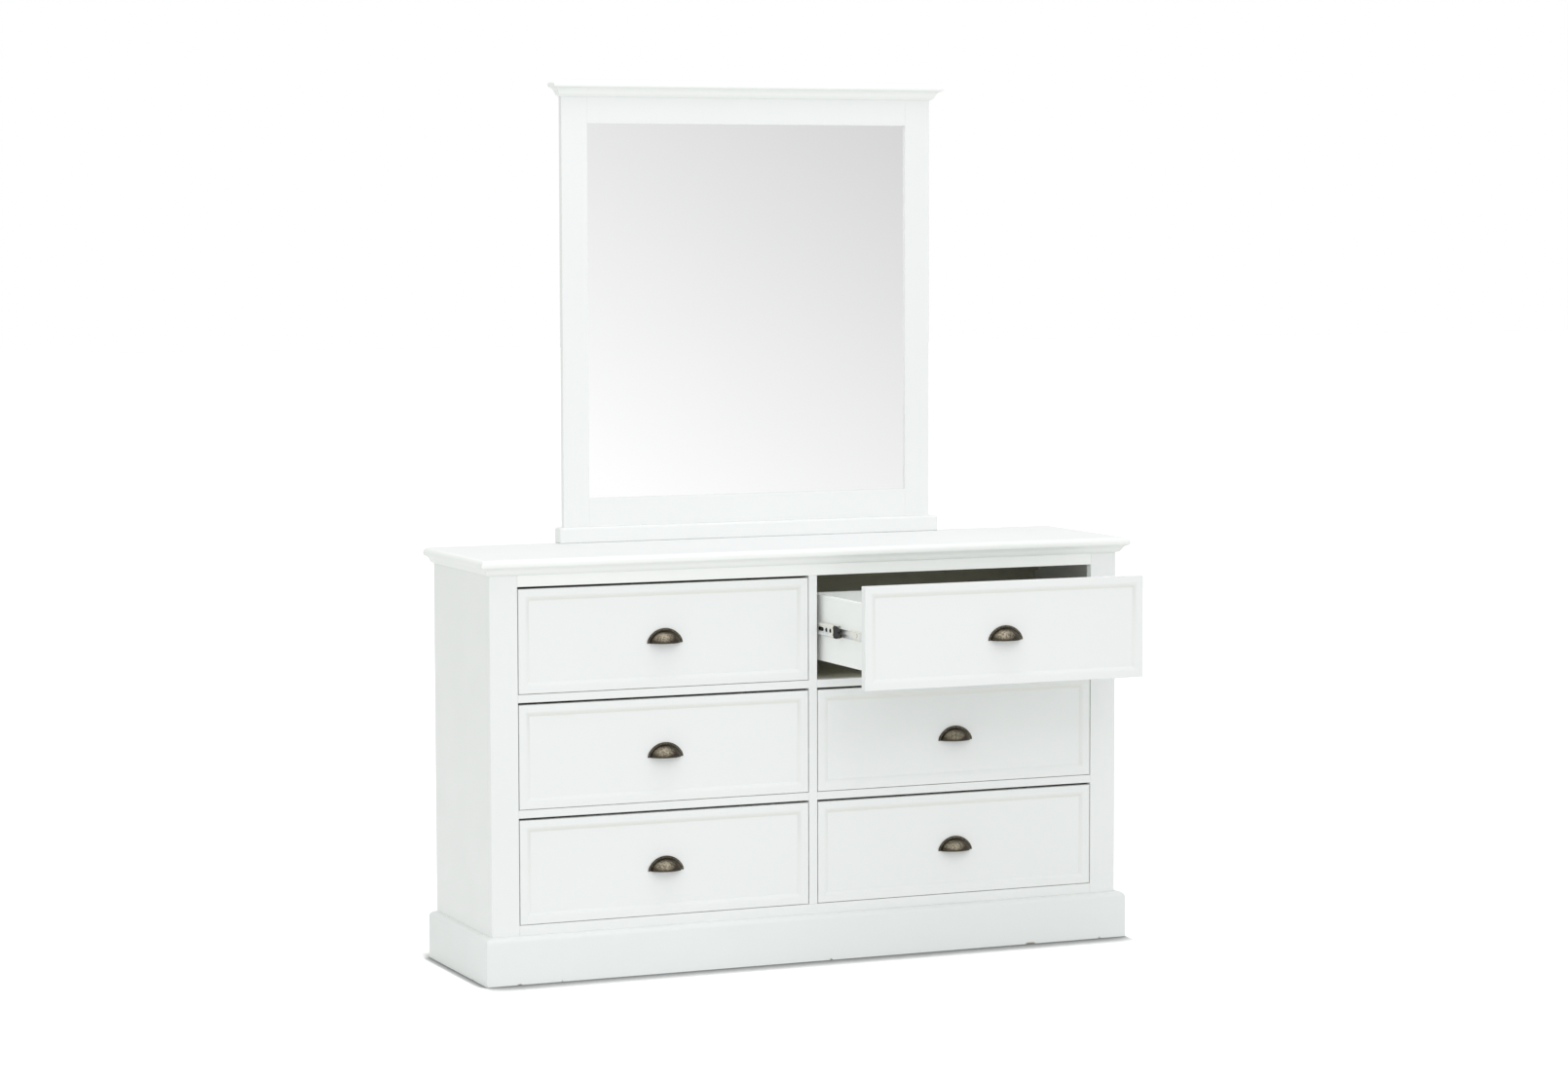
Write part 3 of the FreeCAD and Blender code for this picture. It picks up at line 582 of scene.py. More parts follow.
low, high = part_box("mirror_base")
form = new_form()
board(form, low, high)
upright = [edge for edge in form.edges
           if abs(edge.verts[0].co.z - edge.verts[1].co.z) > MM and edge.verts[0].co.y < high.y - MM]
round_over(form, upright, FOOT_CORNER, FOOT_SEGMENTS, 0.0)
for level, radius in ((high.z, FOOT_UPPER), (low.z, FOOT_LOWER)):
    outline = [edge for edge in form.edges if any(vert.co.y < high.y - MM for vert in edge.verts)
               and all(abs(vert.co.z - level) < TOUCHING for vert in edge.verts)]
    round_over(form, outline, radius, FOOT_SEGMENTS, 0.0)
shown(form, "mirror_base_shown", "cabinet", [white_lacquer], ["mirror_base"])
print("foot: %.0f mm high" % ((high.z - low.z) / MM))

# %% [markdown]
# ## Mouldings and plinth
# A moulding is one section run along the front and back along both sides, cut at 45 degrees where it
# turns. Sweeping the section along a path would give one endless strip. Here each length is its own
# face, extruded once, with its far end moved onto the other mitre, as a joiner cuts it. The plinth
# boards are made the same way.

# %% Mitred lengths
side_low, side_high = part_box("side_panel_left")
carcass_back = side_high.y
carcass_half = -side_low.x
carcass_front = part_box("front_stile_left")[0].y


def arc(centre, radius, first, last, steps):
    """Points of an arc in a section, from the first angle to the last, in degrees."""
    angles = [math.radians(first + (last - first) * step / steps) for step in range(steps + 1)]
    return [(centre[0] + radius * math.cos(angle), centre[1] + radius * math.sin(angle)) for angle in angles]


def mitred_length(section, first_end, last_end):
    """One length of moulding: the ends turn a point (out, up) of the section into a place."""
    form = new_form()
    ring = [form.verts.new(first_end(out, up)) for out, up in section]
    start = form.faces.new(ring)
    for vert in pushed(form, [start]):
        origin = next(edge.other_vert(vert) for edge in vert.link_edges if edge.other_vert(vert) in ring)
        vert.co = last_end(*section[ring.index(origin)])
    bmesh.ops.recalc_face_normals(form, faces=form.faces)
    return form


def wrapped(section, half, front):
    """The three lengths round the front and both sides: left, front, right."""
    def mitre(side):
        return lambda out, up: Vector((side * (half + out), front - out, up))

    def square(side):
        return lambda out, up: Vector((side * (half + out), carcass_back, up))

    yield mitred_length(section, square(-1), mitre(-1))
    yield mitred_length(section, mitre(-1), mitre(1))
    yield mitred_length(section, mitre(1), square(1))


print("carcass: %.0f mm wide" % (2 * carcass_half / MM))

# %% [markdown]
# ## Plinth
# The plinth's section is a plain board with a wide round on its upper edge and a small one where
# it meets the floor. The rear ends of its sides are rounded a little too.

# %% Plinth
PLINTH_ROUND = 12 * MM
PLINTH_REAR = 2.5 * MM
PLINTH_FOOT = 1.2 * MM
PLINTH_NODES = ("plinth_side_left", "plinth_front", "plinth_side_right")

plinth_low, plinth_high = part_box("plinth_front")
plinth_thick = carcass_front - plinth_low.y
rounded_from = plinth_thick - PLINTH_ROUND
plinth_section = ([(0, 0)] + arc((plinth_thick - PLINTH_FOOT, PLINTH_FOOT), PLINTH_FOOT, -90, 0, 4)
                  + arc((rounded_from, plinth_high.z - PLINTH_ROUND), PLINTH_ROUND, 0, 90, 10)
                  + [(0, plinth_high.z)])


def at_rear(edge):
    """Whether this is the outer upright edge at the rear end of a side."""
    return all(vert.co.y > carcass_back - MM and abs(vert.co.x) > carcass_half + plinth_thick - MM
               for vert in edge.verts)


for node, form in zip(PLINTH_NODES, wrapped(plinth_section, carcass_half, carcass_front)):
    round_over(form, filter(at_rear, arrises(form.edges)), PLINTH_REAR, 4)
    round_over(form, arrises(form.edges), SANDED)
    # painted shade: the plinth takes the greyer copy, which also has the chips
    shown(form, node + "_shown", "cabinet", [chipped_painted_shade_lacquer], [node])
print("plinth: %.0f mm high" % (plinth_high.z / MM))

# %% [markdown]
# ## Ogee mouldings
# An ogee is an S: a round lower half that passes into a hollow upper half. Both halves are arcs
# through the same middle point, and the lip below is a small flat. The one under the top is
# shallow, the one under the mirror's cornice reaches further out.

# %% Ogee mouldings
TOP_OGEE = dict(lip=2.5 * MM, slope=16 * MM, height=16 * MM, radius=16 * MM)
CROWN_OGEE = dict(lip=1 * MM, slope=19 * MM, height=20 * MM, radius=20 * MM)
OGEE_STEPS = 8
OGEE_ROUND = 0.3 * MM


def bowed(first, last, radius, side):
    """Points after the first on the arc to the last; side 1 bulges right of the way, -1 left of it."""
    first, last = Vector(first), Vector(last)
    way = last - first
    across = Vector((way.y, -way.x)).normalized()
    centre = (first + last) / 2 - side * across * math.sqrt(radius ** 2 - way.length_squared / 4)
    sweep = side * 2 * math.asin(way.length / 2 / radius)
    return [tuple(centre + Matrix.Rotation(sweep * step / OGEE_STEPS, 2) @ (first - centre))
            for step in range(1, OGEE_STEPS + 1)]


def ogee_section(bottom, lip, slope, height, radius):
    """A lip, a round lower half and a hollow upper half, from the bottom up."""
    foot, middle, head = (lip, bottom), (lip + slope / 2, bottom + height / 2), (lip + slope, bottom + height)
    return ([(0, bottom), foot] + bowed(foot, middle, radius, 1) + bowed(middle, head, radius, -1)
            + [(0, bottom + height)])


def ogee_piece(node, section, half, front):
    """The three lengths of one moulding as one piece."""
    whole = new_form()
    for form in wrapped(section, half, front):
        round_over(form, arrises(form.edges), OGEE_ROUND)
        length = mesh_of(form, "length")
        whole.from_mesh(length)
        bpy.data.meshes.remove(length)
    # painted light: the mouldings take the lighter copy of the lacquer
    return shown(whole, node + "_shown", "cabinet", [painted_lit_lacquer], [node])


top_low, top_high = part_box("top_moulding")
ogee_piece("top_moulding", ogee_section(top_low.z, **TOP_OGEE), carcass_half, carcass_front)
crown_low, crown_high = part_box("mirror_cornice_moulding")
mirror_low, mirror_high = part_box("mirror_stiles")
ogee_piece("mirror_cornice_moulding", ogee_section(crown_low.z, **CROWN_OGEE), mirror_high.x, mirror_low.y)
print("mouldings: %.0f and %.0f mm high" % ((top_high.z - top_low.z) / MM, (crown_high.z - crown_low.z) / MM))

# %% [markdown]
# ## Drawer fronts
# A front is one board whose middle is routed down by four millimetres. The edge of the sunk panel is
# a quarter round that starts flat and ends steep. Insetting the front face again and again, each
# time a little deeper, draws that curve and mitres its corners by itself. The steep part under the
# upper rim, and to a lesser degree those at the sides, are marked for painted shade. The front reaches a
# little further down than its measured block, which leaves a narrower joint below it than above.

# %% Drawer fronts
RIM = 13.5 * MM
SLOPE, PANEL_DEPTH = 11 * MM, 4 * MM
CURVE_STEPS = 8
FRONT_ROUND = 0.8 * MM
FRONT_SMOOTH_UNDER = math.radians(60)
LOWER_JOINT = 0.9 * MM
FACES_FORWARD = -0.5
PAINTED_SHADE_UNDER_RIM, PAINTED_SHADE_AT_SIDES = 1.8, 0.6


def sunk_profile():
    """Width and depth of each inset, from the rim to the panel."""
    steps, before = [(RIM, 0.0)], 0.0
    for step in range(1, CURVE_STEPS + 1):
        after = PANEL_DEPTH * (1 - math.cos(math.radians(90) * step / CURVE_STEPS))
        steps.append((SLOPE / CURVE_STEPS, after - before))
        before = after
    return steps


def drawer_front(name):
    """One front, its panel sunk and the faces that get painted shade marked."""
    node = "drawer_front_" + name
    form = new_form()
    hollow = form.faces.layers.float.new(PAINTED_SHADE_LAYER)
    low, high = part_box(node)
    outer = edges_of(board(form, (low.x, low.y, low.z - LOWER_JOINT), high))
    panel = min(form.faces, key=lambda face: face.calc_center_median().y)
    for width, depth in sunk_profile():
        bmesh.ops.inset_region(form, faces=[panel], thickness=width, depth=-depth, use_even_offset=True,
                               use_boundary=True)
    form.normal_update()
    # painted shade: most on the slope under the upper rim, less on the side slopes, none on the lower slope
    for face in form.faces:
        if face.normal.y < FACES_FORWARD:
            under, aside = max(0.0, -face.normal.z * PAINTED_SHADE_UNDER_RIM), abs(face.normal.x) * PAINTED_SHADE_AT_SIDES
            face[hollow] = under + aside
    round_over(form, outer, FRONT_ROUND, 3)
    return shown(form, node + "_shown", "drawer_" + name, [white_lacquer], [node],
                 FRONT_SMOOTH_UNDER)


for name in DRAWERS:
    drawer_front(name)
print("fronts:", len(DRAWERS), "with", CURVE_STEPS, "steps in the curve")

# %% [markdown]
# ## Drawer boxes
# Each box is four boards: two sides that run the whole length, a back between them, and a thin bottom.
# They could be copies of the measured box, but its boards touch, and merging the copy's
# corners would weld them together. Boards made afresh from the box's size stay apart.

# %% Drawer boxes
BOX_BOARD = 12 * MM
BOX_BOTTOM = 5 * MM
BOX_BOTTOM_LIFT = 8 * MM
BOX_ROUND, BOTTOM_ROUND = 1.0 * MM, 0.3 * MM


def drawer_box(name):
    """The box behind one front."""
    node = "drawer_box_" + name
    low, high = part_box(node)
    inner_left, inner_right = low.x + BOX_BOARD, high.x - BOX_BOARD
    floor = low.z + BOX_BOTTOM_LIFT
    upper = floor + BOX_BOTTOM
    form = new_form()
    board(form, low, (inner_left, high.y, high.z), BOX_ROUND)
    board(form, (inner_right, low.y, low.z), high, BOX_ROUND)
    board(form, (inner_left, high.y - BOX_BOARD, upper), (inner_right, high.y, high.z), BOX_ROUND)
    board(form, (inner_left, low.y, floor), (inner_right, high.y, upper), BOTTOM_ROUND)
    return shown(form, node + "_shown", "drawer_" + name, [drawer_lining], [node])


for name in DRAWERS:
    drawer_box(name)
print("boxes:", len(DRAWERS))

# %% [markdown]
# ## Cup pulls
# A cup pull is a thin hood, open below for the fingers, on a flat rim that lies on the drawer.
# Its outline is an arc at each end and a flatter arc over the top, which meet without a corner.
# The same outline, grown or shrunk, serves the hood, the rim and the row of lobes on it.

# %% Pull outline
PULL_RIM = 6.5 * MM
PULL_RIM_THICK = 2 * MM
PULL_LOWER = 3 * MM
PULL_END = 14 * MM
PULL_WALL = 1.8 * MM
PULL_STEPS = 10


def pull_outline(half, rise, grown, steps=PULL_STEPS):
    """The outline as (across, up) from right to left, grown outwards; half and rise are the hood's."""
    end_centre = half - PULL_END
    crown = (end_centre ** 2 + rise ** 2 - PULL_END ** 2) / (2 * (rise - PULL_END))
    drop = crown - rise
    turn = math.degrees(math.atan2(drop, end_centre))
    right = arc((end_centre, 0), PULL_END + grown, 0, turn, steps)
    right += arc((0, -drop), crown + grown, turn, 90, steps)[1:]
    return right + [(-across, up) for across, up in right[-2::-1]]


def chain(form, points):
    """Vertices joined one after the other, and their edges."""
    verts = [form.verts.new(point) for point in points]
    return verts, [form.edges.new(pair) for pair in zip(verts, verts[1:])]


def extruded(form, edges):
    """Extrude a chain of edges: the new vertices and edges."""
    made = bmesh.ops.extrude_edge_only(form, edges=edges)["geom"]
    return ([item for item in made if isinstance(item, bmesh.types.BMVert)],
            [item for item in made if isinstance(item, bmesh.types.BMEdge)])


print("steps in each arc of a pull:", PULL_STEPS)

# %% [markdown]
# ## The hood
# The hood's rings are the outline, shrunk by the cosine and moved out by the sine of the same angle,
# so each extrusion turns a little further until the last ring closes. The shell is then made
# thick. In a patch on its left the dark coat is worn away, with a painted highlight in the same
# place, and an attribute of its points says how much.

# %% Hood
PULL_RINGS = 12
SMALLEST_RING = 0.02
# the bright patch is worn metal and a painted highlight, left of the hood's middle
WEAR_AND_HIGHLIGHT_ACROSS, WEAR_AND_HIGHLIGHT_UP = -0.25, 0.52    # the middle of the bright patch, in shares of the hood
WEAR_AND_HIGHLIGHT_HALF, WEAR_AND_HIGHLIGHT_RISE = 0.75, 0.42     # how far it reaches, in the same shares


def hood(form, centre, half, rise, reach):
    """The hood as a thin shell, marked where its metal shows bright, worn and with a painted highlight."""
    wear_and_highlight = form.verts.layers.float[WEAR_AND_HIGHLIGHT_LAYER]
    outline = [centre + Vector((across, 0, up)) for across, up in pull_outline(half, rise, 0)]
    verts, edges = chain(form, outline)
    skin = list(verts)
    to_centre = Matrix.Translation(-centre)
    for ring in range(1, PULL_RINGS + 1):
        before, after = [math.radians(90) * part / PULL_RINGS for part in (ring - 1, ring)]
        verts, edges = extruded(form, edges)
        shrink = max(math.cos(after), SMALLEST_RING) / math.cos(before)
        bmesh.ops.scale(form, vec=(shrink, 1, shrink), space=to_centre, verts=verts)
        bmesh.ops.translate(form, vec=(0, -reach * (math.sin(after) - math.sin(before)), 0), verts=verts)
        skin += verts
    bmesh.ops.pointmerge(form, verts=verts, merge_co=centre + Vector((0, -reach, 0)))
    skin = [vert for vert in skin if vert.is_valid]
    for vert in skin:
        across = ((vert.co.x - centre.x) / half - WEAR_AND_HIGHLIGHT_ACROSS) / WEAR_AND_HIGHLIGHT_HALF
        up = ((vert.co.z - centre.z) / rise - WEAR_AND_HIGHLIGHT_UP) / WEAR_AND_HIGHLIGHT_RISE
        vert[wear_and_highlight] = max(0.0, 1 - across ** 2 - up ** 2)
    faces = faces_of(skin)
    bmesh.ops.recalc_face_normals(form, faces=faces)
    if sum(face.normal.y for face in faces) > 0:
        bmesh.ops.reverse_faces(form, faces=faces)
    bmesh.ops.solidify(form, geom=faces, thickness=PULL_WALL)


print("rings in a hood:", PULL_RINGS)

# %% [markdown]
# ## Rim and lobes
# The rim is a flat band round the hood's edge, with a row of small lobes on it, each a little
# longer across the rim than along it. They are set at an even pitch by walking along the outline in
# short steps. Polish has reached their tops, so their coat is a little worn too.

# %% Rim and lobes
RIM_SPARE = 0.8 * MM          # how far the lobes reach past the band
LOBE_PITCH = 3.4 * MM
LOBE_ALONG, LOBE_PROUD = 1.5 * MM, 1.3 * MM
LOBE_MIDDLE, LOBE_HALF = 0.50, 0.44    # in shares of the rim's width
LOBE_RUBBED = 0.30
LOBE_STEPS = 60


def rim(form, centre, half, rise):
    """The flat band behind the hood's edge."""
    inner = pull_outline(half, rise, -0.5 * PULL_WALL)
    outer = pull_outline(half, rise, PULL_RIM - RIM_SPARE)
    inside, outside = [[form.verts.new(centre + Vector((across, 0, up))) for across, up in points]
                       for points in (inner, outer)]
    faces = [form.faces.new((inside[step], inside[step + 1], outside[step + 1], outside[step]))
             for step in range(len(inner) - 1)]
    moved = pushed(form, faces)
    bmesh.ops.translate(form, vec=(0, -PULL_RIM_THICK, 0), verts=moved)
    bmesh.ops.recalc_face_normals(form, faces=faces_of(inside + outside + moved))


def lobes(form, centre, half, rise):
    """Small lobes side by side along the rim."""
    wear_and_highlight = form.verts.layers.float[WEAR_AND_HIGHLIGHT_LAYER]
    middle = pull_outline(half, rise, PULL_RIM * LOBE_MIDDLE, LOBE_STEPS)
    travelled, due = 0.0, LOBE_PITCH / 2
    for (x0, z0), (x1, z1) in zip(middle, middle[1:]):
        length = math.hypot(x1 - x0, z1 - z0)
        if travelled + length >= due:
            angle = math.atan2(z1 - z0, x1 - x0)
            made = bmesh.ops.create_uvsphere(form, u_segments=8, v_segments=5, radius=1)["verts"]
            bmesh.ops.scale(form, vec=(LOBE_ALONG, LOBE_PROUD, PULL_RIM * LOBE_HALF), verts=made)
            bmesh.ops.rotate(form, matrix=Matrix.Rotation(-angle, 3, "Y"), verts=made)
            bmesh.ops.translate(form, vec=centre + Vector((x0, -PULL_RIM_THICK, z0)), verts=made)
            for vert in made:
                vert[wear_and_highlight] = LOBE_RUBBED
            due += LOBE_PITCH
        travelled += length


print("lobes every %.1f mm" % (LOBE_PITCH / MM))

# %% [markdown]
# ## The six pulls
# A pull takes its middle, width and height from the measured one and lies flat on its drawer. Its
# lower edge hangs a little lower, as the open side of a real hood does. The angle for smooth
# faces is wider here, because a hammered casting has no crisp edges.

# %% Six cup pulls
HOOD_BEHIND = 0.2 * MM     # how far the hood stays behind the measured one's front
PULL_SMOOTH_UNDER = math.radians(50)


def cup_pull(name):
    """The pull of one drawer."""
    node = "cup_pull_" + name
    low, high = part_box(node)
    centre = Vector(((low.x + high.x) / 2, high.y, low.z - PULL_LOWER))
    half = (high.x - low.x) / 2 - PULL_RIM
    rise = high.z - centre.z - PULL_RIM
    form = new_form()
    form.verts.layers.float.new(WEAR_AND_HIGHLIGHT_LAYER)
    hood(form, centre, half, rise, high.y - low.y - HOOD_BEHIND)
    rim(form, centre, half, rise)
    lobes(form, centre, half, rise)
    return shown(form, node + "_shown", "drawer_" + name, [old_bronze], [node],
                 PULL_SMOOTH_UNDER)


for name in DRAWERS:
    pull = cup_pull(name)
print("pulls:", len(DRAWERS), "of", len(pull.data.polygons), "faces")

# %% [markdown]
# ## Telescopic slides
# Each slide is three channels of folded steel, one inside the other: the cabinet member on the
# wall, the drawer member on the box, and a middle member that runs between them. A channel is a
# sheet: a chain of edges in its section, extruded along the slide. Bends are arcs of a few points.
# Each section is written for the left wall of an opening as (away from the wall, up) and is turned
# over for the right wall.

# %% Slide sections
STEEL = 1.2 * MM
SLIDE = 12.7 * MM
BEND_STEPS = 4


def bent(corners):
    """A path through corners (away, up, radius), an arc at each bend."""
    path = []
    for number, (away, up, radius) in enumerate(corners):
        if not radius:
            path.append((away, up))
            continue
        here = Vector((away, up))
        before, after = (Vector(corners[number + step][:2]) for step in (-1, 1))
        into, out = (before - here).normalized(), (after - here).normalized()
        half_turn = into.angle(out) / 2
        middle = here + (into + out).normalized() * (radius / math.sin(half_turn))
        first = here + into * (radius / math.tan(half_turn)) - middle
        sweep = (math.pi - 2 * half_turn) * (1 if into.cross(out) < 0 else -1)
        for step in range(BEND_STEPS + 1):
            path.append(tuple(middle + Matrix.Rotation(sweep * step / BEND_STEPS, 2) @ first))
    return path


def both_flanges(upper):
    """The whole section, in metres, from its upper half in millimetres, the upper flange's lip first."""
    upper = [(away * MM, up * MM, radius * MM) for away, up, radius in upper]
    return bent(upper + [(away, -up, radius) for away, up, radius in upper[::-1]])


CABINET_SECTION = both_flanges([(8.4, 16.3, 0), (6.0, 16.9, 1.0), (0.6, 16.9, 2.6), (0.6, 9, 0)])
MIDDLE_SECTION = both_flanges([(11.4, 12.6, 0), (9.6, 13.4, 1.0), (4.6, 13.4, 2.6), (4.6, 8.0, 1.0),
                               (5.8, 6.8, 1.0), (5.8, 4.7, 0)])
DRAWER_SECTION = both_flanges([(6.4, 8.8, 0), (7.8, 9.4, 0.8), (12.1, 9.4, 2.0), (12.1, 4, 0)])
print("section points:", len(CABINET_SECTION), len(MIDDLE_SECTION), len(DRAWER_SECTION))

# %% [markdown]
# ## Two walls to each opening
# The same members hang on the left and the right of every drawer, one turned over. So a wall
# knows where it is and which way is away from it, and turns a place measured from the wall into
# one in the room. Everything on a slide is placed through it.

# %% Walls of an opening
SLIDE_ABOVE_BOX = 70 * MM


class Wall:
    """One wall of an opening; places on it are (away from it, back from the member's front, up)."""

    def __init__(self, x, away, y, z):
        self.x, self.away, self.y, self.z = x, away, y, z

    def at(self, away, back, up):
        return Vector((self.x + self.away * away, self.y + back, self.z + up))


def walls(name, front):
    """The left and the right wall of a drawer's opening, for members that start at this front."""
    low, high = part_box("drawer_box_" + name)
    level = low.z + SLIDE_ABOVE_BOX
    return Wall(low.x - SLIDE, 1, front, level), Wall(high.x + SLIDE, -1, front, level)


print("a slide's middle is %.0f mm above the box's lower edge" % (SLIDE_ABOVE_BOX / MM))

# %% [markdown]
# ## Channels
# A channel is extruded from station to station, and a slot is cut in the web between two of them:
# the face there is deleted, and the ring between its edges and a stretched circle is filled with
# triangles. A slot of a real slide is punched the same way, out of the flat sheet.

# %% Channels
SLOT_HEIGHT = 8.4 * MM
SLOT_SPARE = 0.3 * MM


def slotted(form, web):
    """Cut a slot with round ends through this face, almost as long as the face."""
    centre = web.calc_center_median()
    length = (max(abs(vert.co.y - centre.y) for vert in web.verts) - SLOT_SPARE) * 2
    hole = bmesh.ops.create_circle(form, segments=20, radius=1)["verts"]
    bmesh.ops.rotate(form, matrix=Matrix.Rotation(math.radians(90), 3, "Y"), verts=hole)
    for vert in hole:
        swell = (vert.co.y ** 4 + vert.co.z ** 4) ** -0.25
        vert.co = centre + Vector((0, vert.co.y * swell * length / 2, vert.co.z * swell * SLOT_HEIGHT / 2))
    edges = set(web.edges) | edges_of(hole)
    bmesh.ops.delete(form, geom=[web], context="FACES_ONLY")
    bmesh.ops.triangle_fill(form, edges=list(edges), use_beauty=True, normal=(1, 0, 0))


def channel(form, wall, section, stations, slots=()):
    """A folded sheet through these stations, with a slot in the web after each station in slots."""
    verts, edges = chain(form, [wall.at(away, stations[0], up) for away, up in section])
    cut = []
    for before, after in zip(stations, stations[1:]):
        moved, edges = extruded(form, edges)
        bmesh.ops.translate(form, vec=(0, after - before, 0), verts=moved)
        if before in slots:
            new = {face for edge in edges for face in edge.link_faces}
            cut.append(min(new, key=lambda face: abs(face.calc_center_median().z - wall.z)))
    for web in cut:
        slotted(form, web)


print("slots: %.1f mm high" % (SLOT_HEIGHT / MM))

# %% [markdown]
# ## Plates and screws
# The rest of a slide is small: flat plates of plastic or steel that are drawn as an outline and
# extruded, and screws with pan heads. A head is a low cone whose top is inset twice, the second
# time downwards, for the driver's recess.

# %% Plates and screws
HEAD_TOP = 0.72       # all as shares of the head's radius or height
RECESS_RIM, RECESS_WALL, RECESS_DEPTH = 0.34, 0.05, 0.5


def plate(form, wall, outline, near, far, radius=0.0):
    """A flat plate whose outline is (back, up), from near to far away from the wall."""
    ring = [form.verts.new(wall.at(near, back, up)) for back, up in outline]
    moved = pushed(form, [form.faces.new(ring)])
    bmesh.ops.translate(form, vec=(wall.away * (far - near), 0, 0), verts=moved)
    bmesh.ops.recalc_face_normals(form, faces=faces_of(ring + moved))
    if radius:
        round_over(form, arrises(edges_of(ring + moved)), radius, 1)


def pan_screw(form, seat, towards, radius=3.4 * MM, height=1.9 * MM):
    """A pan head on its seat, with a driver recess."""
    head = bmesh.ops.create_cone(form, cap_ends=True, segments=14, radius1=radius, radius2=radius * HEAD_TOP,
                                 depth=height)["verts"]
    top = max(faces_of(head), key=lambda face: face.calc_center_median().z)
    bmesh.ops.inset_individual(form, faces=[top], thickness=radius * RECESS_RIM)
    inner = list(top.verts)
    bmesh.ops.inset_individual(form, faces=[top], thickness=radius * RECESS_WALL,
                               depth=-height * RECESS_DEPTH)
    whole = list({*head, *inner, *top.verts})
    turn = Vector((0, 0, 1)).rotation_difference(towards).to_matrix()
    bmesh.ops.rotate(form, matrix=turn, verts=whole)
    bmesh.ops.translate(form, vec=seat + towards * height / 2, verts=whole)


print("recess: %.0f %% of a head's height" % (RECESS_DEPTH * 100))

# %% [markdown]
# ## Drawer and cabinet members
# The members on the drawers carry two screws and a small chevron near their front: a stamped mark,
# drawn as a thin plate of darker steel whose dark tone is painted shade. The members on the walls
# are all one piece, because they stay with the cabinet. Their screws sit behind the place where a
# bumper rests when its drawer is shut.

# %% Drawer and cabinet members
MEMBER = 300 * MM
DRAWER_SCREWS = (150, 262)       # millimetres behind the member's front
CABINET_SCREWS = (62, 228)
CHEVRON = [(38.0, 0), (41.6, 4.4), (43.4, 4.4), (40.0, 0), (43.4, -4.4), (41.6, -4.4)]
CHEVRON_PROUD = 0.1 * MM


def in_metres(outline):
    """Points in metres, from points in millimetres."""
    return [(back * MM, up * MM) for back, up in outline]


def drawer_members(name):
    """The two members on one drawer's box."""
    node = "slide_drawer_members_" + name
    sheet, small = new_form(), new_form()
    for wall in walls(name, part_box(node)[0].y):
        channel(sheet, wall, DRAWER_SECTION, [0, MEMBER])
        for screw in DRAWER_SCREWS:
            pan_screw(small, wall.at(SLIDE - STEEL, screw * MM, 0), Vector((-wall.away, 0, 0)))
        # painted shade: the chevron is a thin plate of darker steel
        plate(small, wall, in_metres(CHEVRON), SLIDE - STEEL - CHEVRON_PROUD, SLIDE - STEEL)
    body = "drawer_" + name
    shown(sheet, node + "_shown", body, [bright_zinc], [node], sheet=STEEL)
    shown(small, "slide_drawer_marks_" + name, body, [dull_steel])


sheet, small = new_form(), new_form()
for name in DRAWERS:
    for wall in walls(name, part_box("slide_cabinet_members")[0].y):
        channel(sheet, wall, CABINET_SECTION, [0, MEMBER])
        for screw in CABINET_SCREWS:
            pan_screw(small, wall.at(STEEL, screw * MM, 0), Vector((wall.away, 0, 0)))
    drawer_members(name)
shown(sheet, "slide_cabinet_members_shown", "cabinet", [bright_zinc], ["slide_cabinet_members"],
      sheet=STEEL)
shown(small, "slide_cabinet_screws", "cabinet", [dull_steel])
print("members on drawers and walls:", 2 * len(DRAWERS), "each")

# %% [markdown]
# ## Balls and cages
# The members roll on balls, which run in the lips above and below. A cage, a strip with a hole for
# each ball, keeps them apart. A ball is so small that an icosphere of one subdivision looks round.

# %% Balls and cages
BALL = 0.95 * MM
BALL_PITCH = 9.5 * MM
BALLS_IN_ROW = 10
BALL_ROWS = ((6.7, 15.15, 181), (8.8, 11.2, 35))     # away from the wall, up or down, first ball
CAGE_HALF_WIDE, CAGE_HALF_THICK = 1.6 * MM, 0.4 * MM


def balls(form, wall, away, up, start):
    """A cage strip with a row of balls in it."""
    low = wall.at(away - CAGE_HALF_WIDE, start, up - CAGE_HALF_THICK)
    high = wall.at(away + CAGE_HALF_WIDE, start, up + CAGE_HALF_THICK)
    high.y += BALLS_IN_ROW * BALL_PITCH
    board(form, (min(low.x, high.x), low.y, low.z), (max(low.x, high.x), high.y, high.z))
    for number in range(BALLS_IN_ROW):
        ball = bmesh.ops.create_icosphere(form, subdivisions=1, radius=BALL)["verts"]
        bmesh.ops.translate(form, vec=wall.at(away, start + (number + 0.5) * BALL_PITCH, up), verts=ball)


print("balls in a row:", BALLS_IN_ROW)

# %% [markdown]
# ## Middle members
# The middle member shows most: its web has three slots with a black plastic plate behind them, which
# makes the web dark there, and its front end is a plastic bumper whose two fingers catch the drawer
# member when it comes home. The steel starts inside the bumper.

